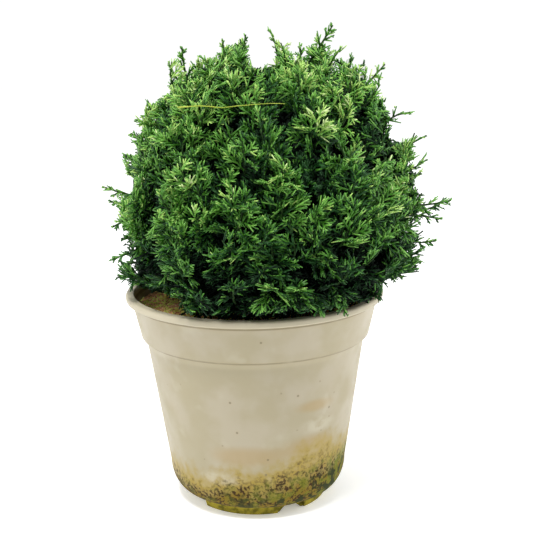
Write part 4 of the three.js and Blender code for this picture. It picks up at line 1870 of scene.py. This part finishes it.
    def build_leaves(self, fingers: dict[int, Fingers]) -> None:
        """Builds the leaves of each mass as one mesh.

        Args:
            fingers: The leaf fingers of each mass.
        """
        materials = [tone.value.build() for tone in Tone]
        tree = self.leaf_tree(materials)
        for index, rows in fingers.items():
            mass = self.crown.masses[index]
            made = mesh_piece(f"leaves_{mass.name}", rows.base, [])
            size = np.stack([rows.width, self.leaf_flatness * rows.width, rows.length], 1) * MM
            given = {"heading": rows.heading, "facing": rows.facing, "size": size}
            for name, values in given.items():
                layer = made.data.attributes.new(name, "FLOAT_VECTOR", "POINT")
                layer.data.foreach_set("vector", values.astype(np.float32).ravel())
            layer = made.data.attributes.new("tone", "INT", "POINT")
            layer.data.foreach_set("value", rows.tone.astype(np.int32))
            run_tree(made, tree, {"Sides": self.leaf_sides, "Tip": self.leaf_tip})
            made.data.shade_smooth()
            for name in (*given, "tone"):
                if name in made.data.attributes:
                    made.data.attributes.remove(made.data.attributes[name])
            finish_piece(made, [f"foliage_{mass.name}"])

    def build(self, bark: bpy.types.Material) -> None:
        """Builds boughs, twigs and leaves.

        Args:
            bark: The boughs' bark.
        """
        shares = np.linspace(0, 1, self.bough_points)
        along, turn = shares[:, None], turns(self.bough_sides)[None]
        relief = 0.3 * np.sin(5 * turn + 9 * along) + 0.2 * np.sin(3 * turn - 40 * along)
        radii = self.bough_radii[0] - (self.bough_radii[0] - self.bough_radii[1]) * along + relief
        boughs = [
            tube(bezier(self.bough_controls(mass), shares), radii, self.bough_sides)
            for mass in self.crown.masses
        ]
        names = [f"bough_{mass.name}" for mass in self.crown.masses if mass.fork is not None]
        made = mesh_piece("bough_bark", *joined(boughs))
        made.data.materials.append(bark)
        finish_piece(made, names)
        lines, fingers = self.grow()
        twigs = mesh_piece("twigs", *joined([tube(line[::2], radii[::2], 4) for line, radii in lines]))
        twigs.data.materials.append(TWIG.build())
        finish_piece(twigs)
        self.build_leaves(fingers)


@dataclass
class GrassStalk:
    """A dry grass stalk that has fallen on the crown."""

    path: tuple[tuple[float, float, float], ...] = (
        (-59.9, -90, 376.6), (-49.6, -97, 377.6), (-41.2, -101, 378.4), (-32.1, -106, 378.0),
        (-23.1, -110, 377.0), (-10.1, -113, 378.8), (3.6, -114.5, 379.6), (15.6, -114.5, 380.4),
        (27.7, -113, 379.6),
    )
    radius: float = 0.5
    name: str = "grass_stalk"
    finish: Grained = STRAW

    def build(self) -> None:
        """Builds the stalk."""
        knots = np.array(self.path, float)
        shares = np.linspace(0, 1, 40)
        places = np.linspace(0, 1, len(knots))
        line = np.stack([np.interp(shares, places, knots[:, k]) for k in range(3)], 1)
        for _ in range(2):
            line[1:-1] = (line[:-2] + line[1:-1] + line[2:]) / 3
        made = mesh_piece(self.name, *tube(line, self.radius * (1.15 - 0.75 * shares), 8))
        made.data.materials.append(self.finish.build())
        finish_piece(made)


# ---- The studio ----


@dataclass
class Studio:
    """A pale floor, soft lights and the camera."""

    focal: float = 72.91
    sensor: float = 36.0
    shift: tuple[float, float] = (0.02134, -0.00337)
    place: tuple[float, float, float] = FRONT
    pitch: float = 0.2324957
    yaw: float = 0.0096387
    roll: float = -0.0192210
    clip: tuple[float, float] = (0.05, 50.0)  # metres
    floor_reach: float = 6000.0
    backdrop_radius: float = 18.0  # metres
    aim: tuple[float, float, float] = (0.0, 0.0, 0.25)  # where the lights point, in metres
    # Name, place in metres, side in metres and power in watts of each light.
    lights: tuple[tuple[str, tuple[float, float, float], float, float], ...] = (
        ("key", (-0.3, -0.8, 2.1), 0.5, 36.0),
        ("side_right", (1.6, 0.1, 0.9), 0.9, 12.0),
        ("side_left", (-1.6, 0.1, 0.8), 0.9, 8.0),
    )

    def camera(self) -> None:
        """Makes the camera and sets it as the scene's."""
        forward = np.array([
            math.sin(self.yaw) * math.cos(self.pitch),
            math.cos(self.yaw) * math.cos(self.pitch),
            -math.sin(self.pitch),
        ])
        right = unit(np.cross(forward, [0, 0, 1]))
        up = np.cross(right, forward)
        x = math.cos(self.roll) * right + math.sin(self.roll) * up
        y = -math.sin(self.roll) * right + math.cos(self.roll) * up
        lens = bpy.data.cameras.new("camera")
        lens.lens, lens.sensor_width = self.focal, self.sensor
        lens.shift_x, lens.shift_y = self.shift
        lens.clip_start, lens.clip_end = self.clip
        camera = add_object("camera", lens)
        matrix = Matrix((x.tolist(), y.tolist(), (-forward).tolist())).transposed().to_4x4()
        matrix.translation = Vector(self.place) * MM
        camera.matrix_world = matrix
        bpy.context.scene.camera = camera

    def light(self, name: str, place: Sequence[float], size: float, power: float) -> None:
        """Adds a square soft light that faces the plant.

        Args:
            name: Its name.
            place: Its place in metres.
            size: Its side in metres.
            power: Its power in watts.
        """
        lamp = bpy.data.lights.new(name, "AREA")
        lamp.energy, lamp.size = power, size
        made = add_object(name, lamp)
        made.location = place
        made.rotation_euler = (Vector(self.aim) - Vector(place)).to_track_quat("-Z", "Y").to_euler()

    def glowing(self, name: str, base: str, roughness: float, glow: float) -> bpy.types.Material:
        """Makes a material that gives off white light.

        Args:
            name: Its name.
            base: Its colour under the lights.
            roughness: Its roughness.
            glow: How much light it gives.

        Returns:
            The material.
        """
        material, tree = new_material(name)
        close_material(tree, {
            "Base Color": linear(base), "Roughness": roughness, "Emission Color": linear("#ffffff"),
            "Emission Strength": glow,
        })
        return material

    def backdrop(self) -> None:
        """Makes a plain white backdrop all round, which the lights don't see."""
        form = bmesh.new()
        bmesh.ops.create_icosphere(form, subdivisions=3, radius=self.backdrop_radius)
        mesh = bpy.data.meshes.new("backdrop")
        form.to_mesh(mesh)
        form.free()
        mesh.materials.append(self.glowing("white_backdrop", "#000000", 0.5, 1.0))
        dome = add_object("backdrop", mesh)
        dome.visible_diffuse = dome.visible_glossy = dome.visible_transmission = dome.visible_shadow = False

    def build(self) -> None:
        """Builds the whole studio."""
        self.camera()
        corners = np.array([[-1, -1, 0], [1, -1, 0], [1, 1, 0], [-1, 1, 0]])
        floor = mesh_piece("floor", corners * self.floor_reach, [[0, 1, 2, 3]])
        floor.data.materials.append(self.glowing("white_paper", "#ffffff", 0.9, 0.3))
        world = bpy.data.worlds.new("studio")
        bpy.context.scene.world = world
        world.use_nodes = True
        # The room is a little dimmer at the front, so that the pot's flanks are its brightest parts.
        tree = world.node_tree
        way = add_node(tree, "ShaderNodeTexCoord").outputs["Generated"]
        axes = add_node(tree, "ShaderNodeSeparateXYZ", inputs={0: way})
        glow = add_node(
            tree, "ShaderNodeMapRange", {"interpolation_type": "SMOOTHSTEP"},
            {"Value": axes.outputs["Y"], "From Min": -0.9, "From Max": 0.3, "To Min": 0.35, "To Max": 0.95},
        )
        tree.links.new(glow.outputs[0], tree.nodes["Background"].inputs["Strength"])
        tree.nodes["Background"].inputs["Color"].default_value = (1, 1, 1, 1)
        self.backdrop()
        for light in self.lights:
            self.light(*light)
        bpy.context.scene.view_settings.view_transform = "Standard"


def main() -> None:
    """Builds the potted conifer and its studio."""
    logging.basicConfig(level=logging.INFO, format="%(name)s %(message)s")
    Studio().build()
    pot = Pot()
    pot.build(MouldedPolypropylene().build())
    Compost().build(pot)
    crown = Crown()
    bark = BARK.build()
    crown.trunk.build(bark)
    Foliage(crown).build(bark)
    GrassStalk().build()
    straw = ((-24, -101, 192.5), (-17, -103, 194), (-8, -103.5, 195))
    GrassStalk(straw, name="bleached_straw", finish=PALE_STRAW).build()


if __name__ == "__main__":
    main()
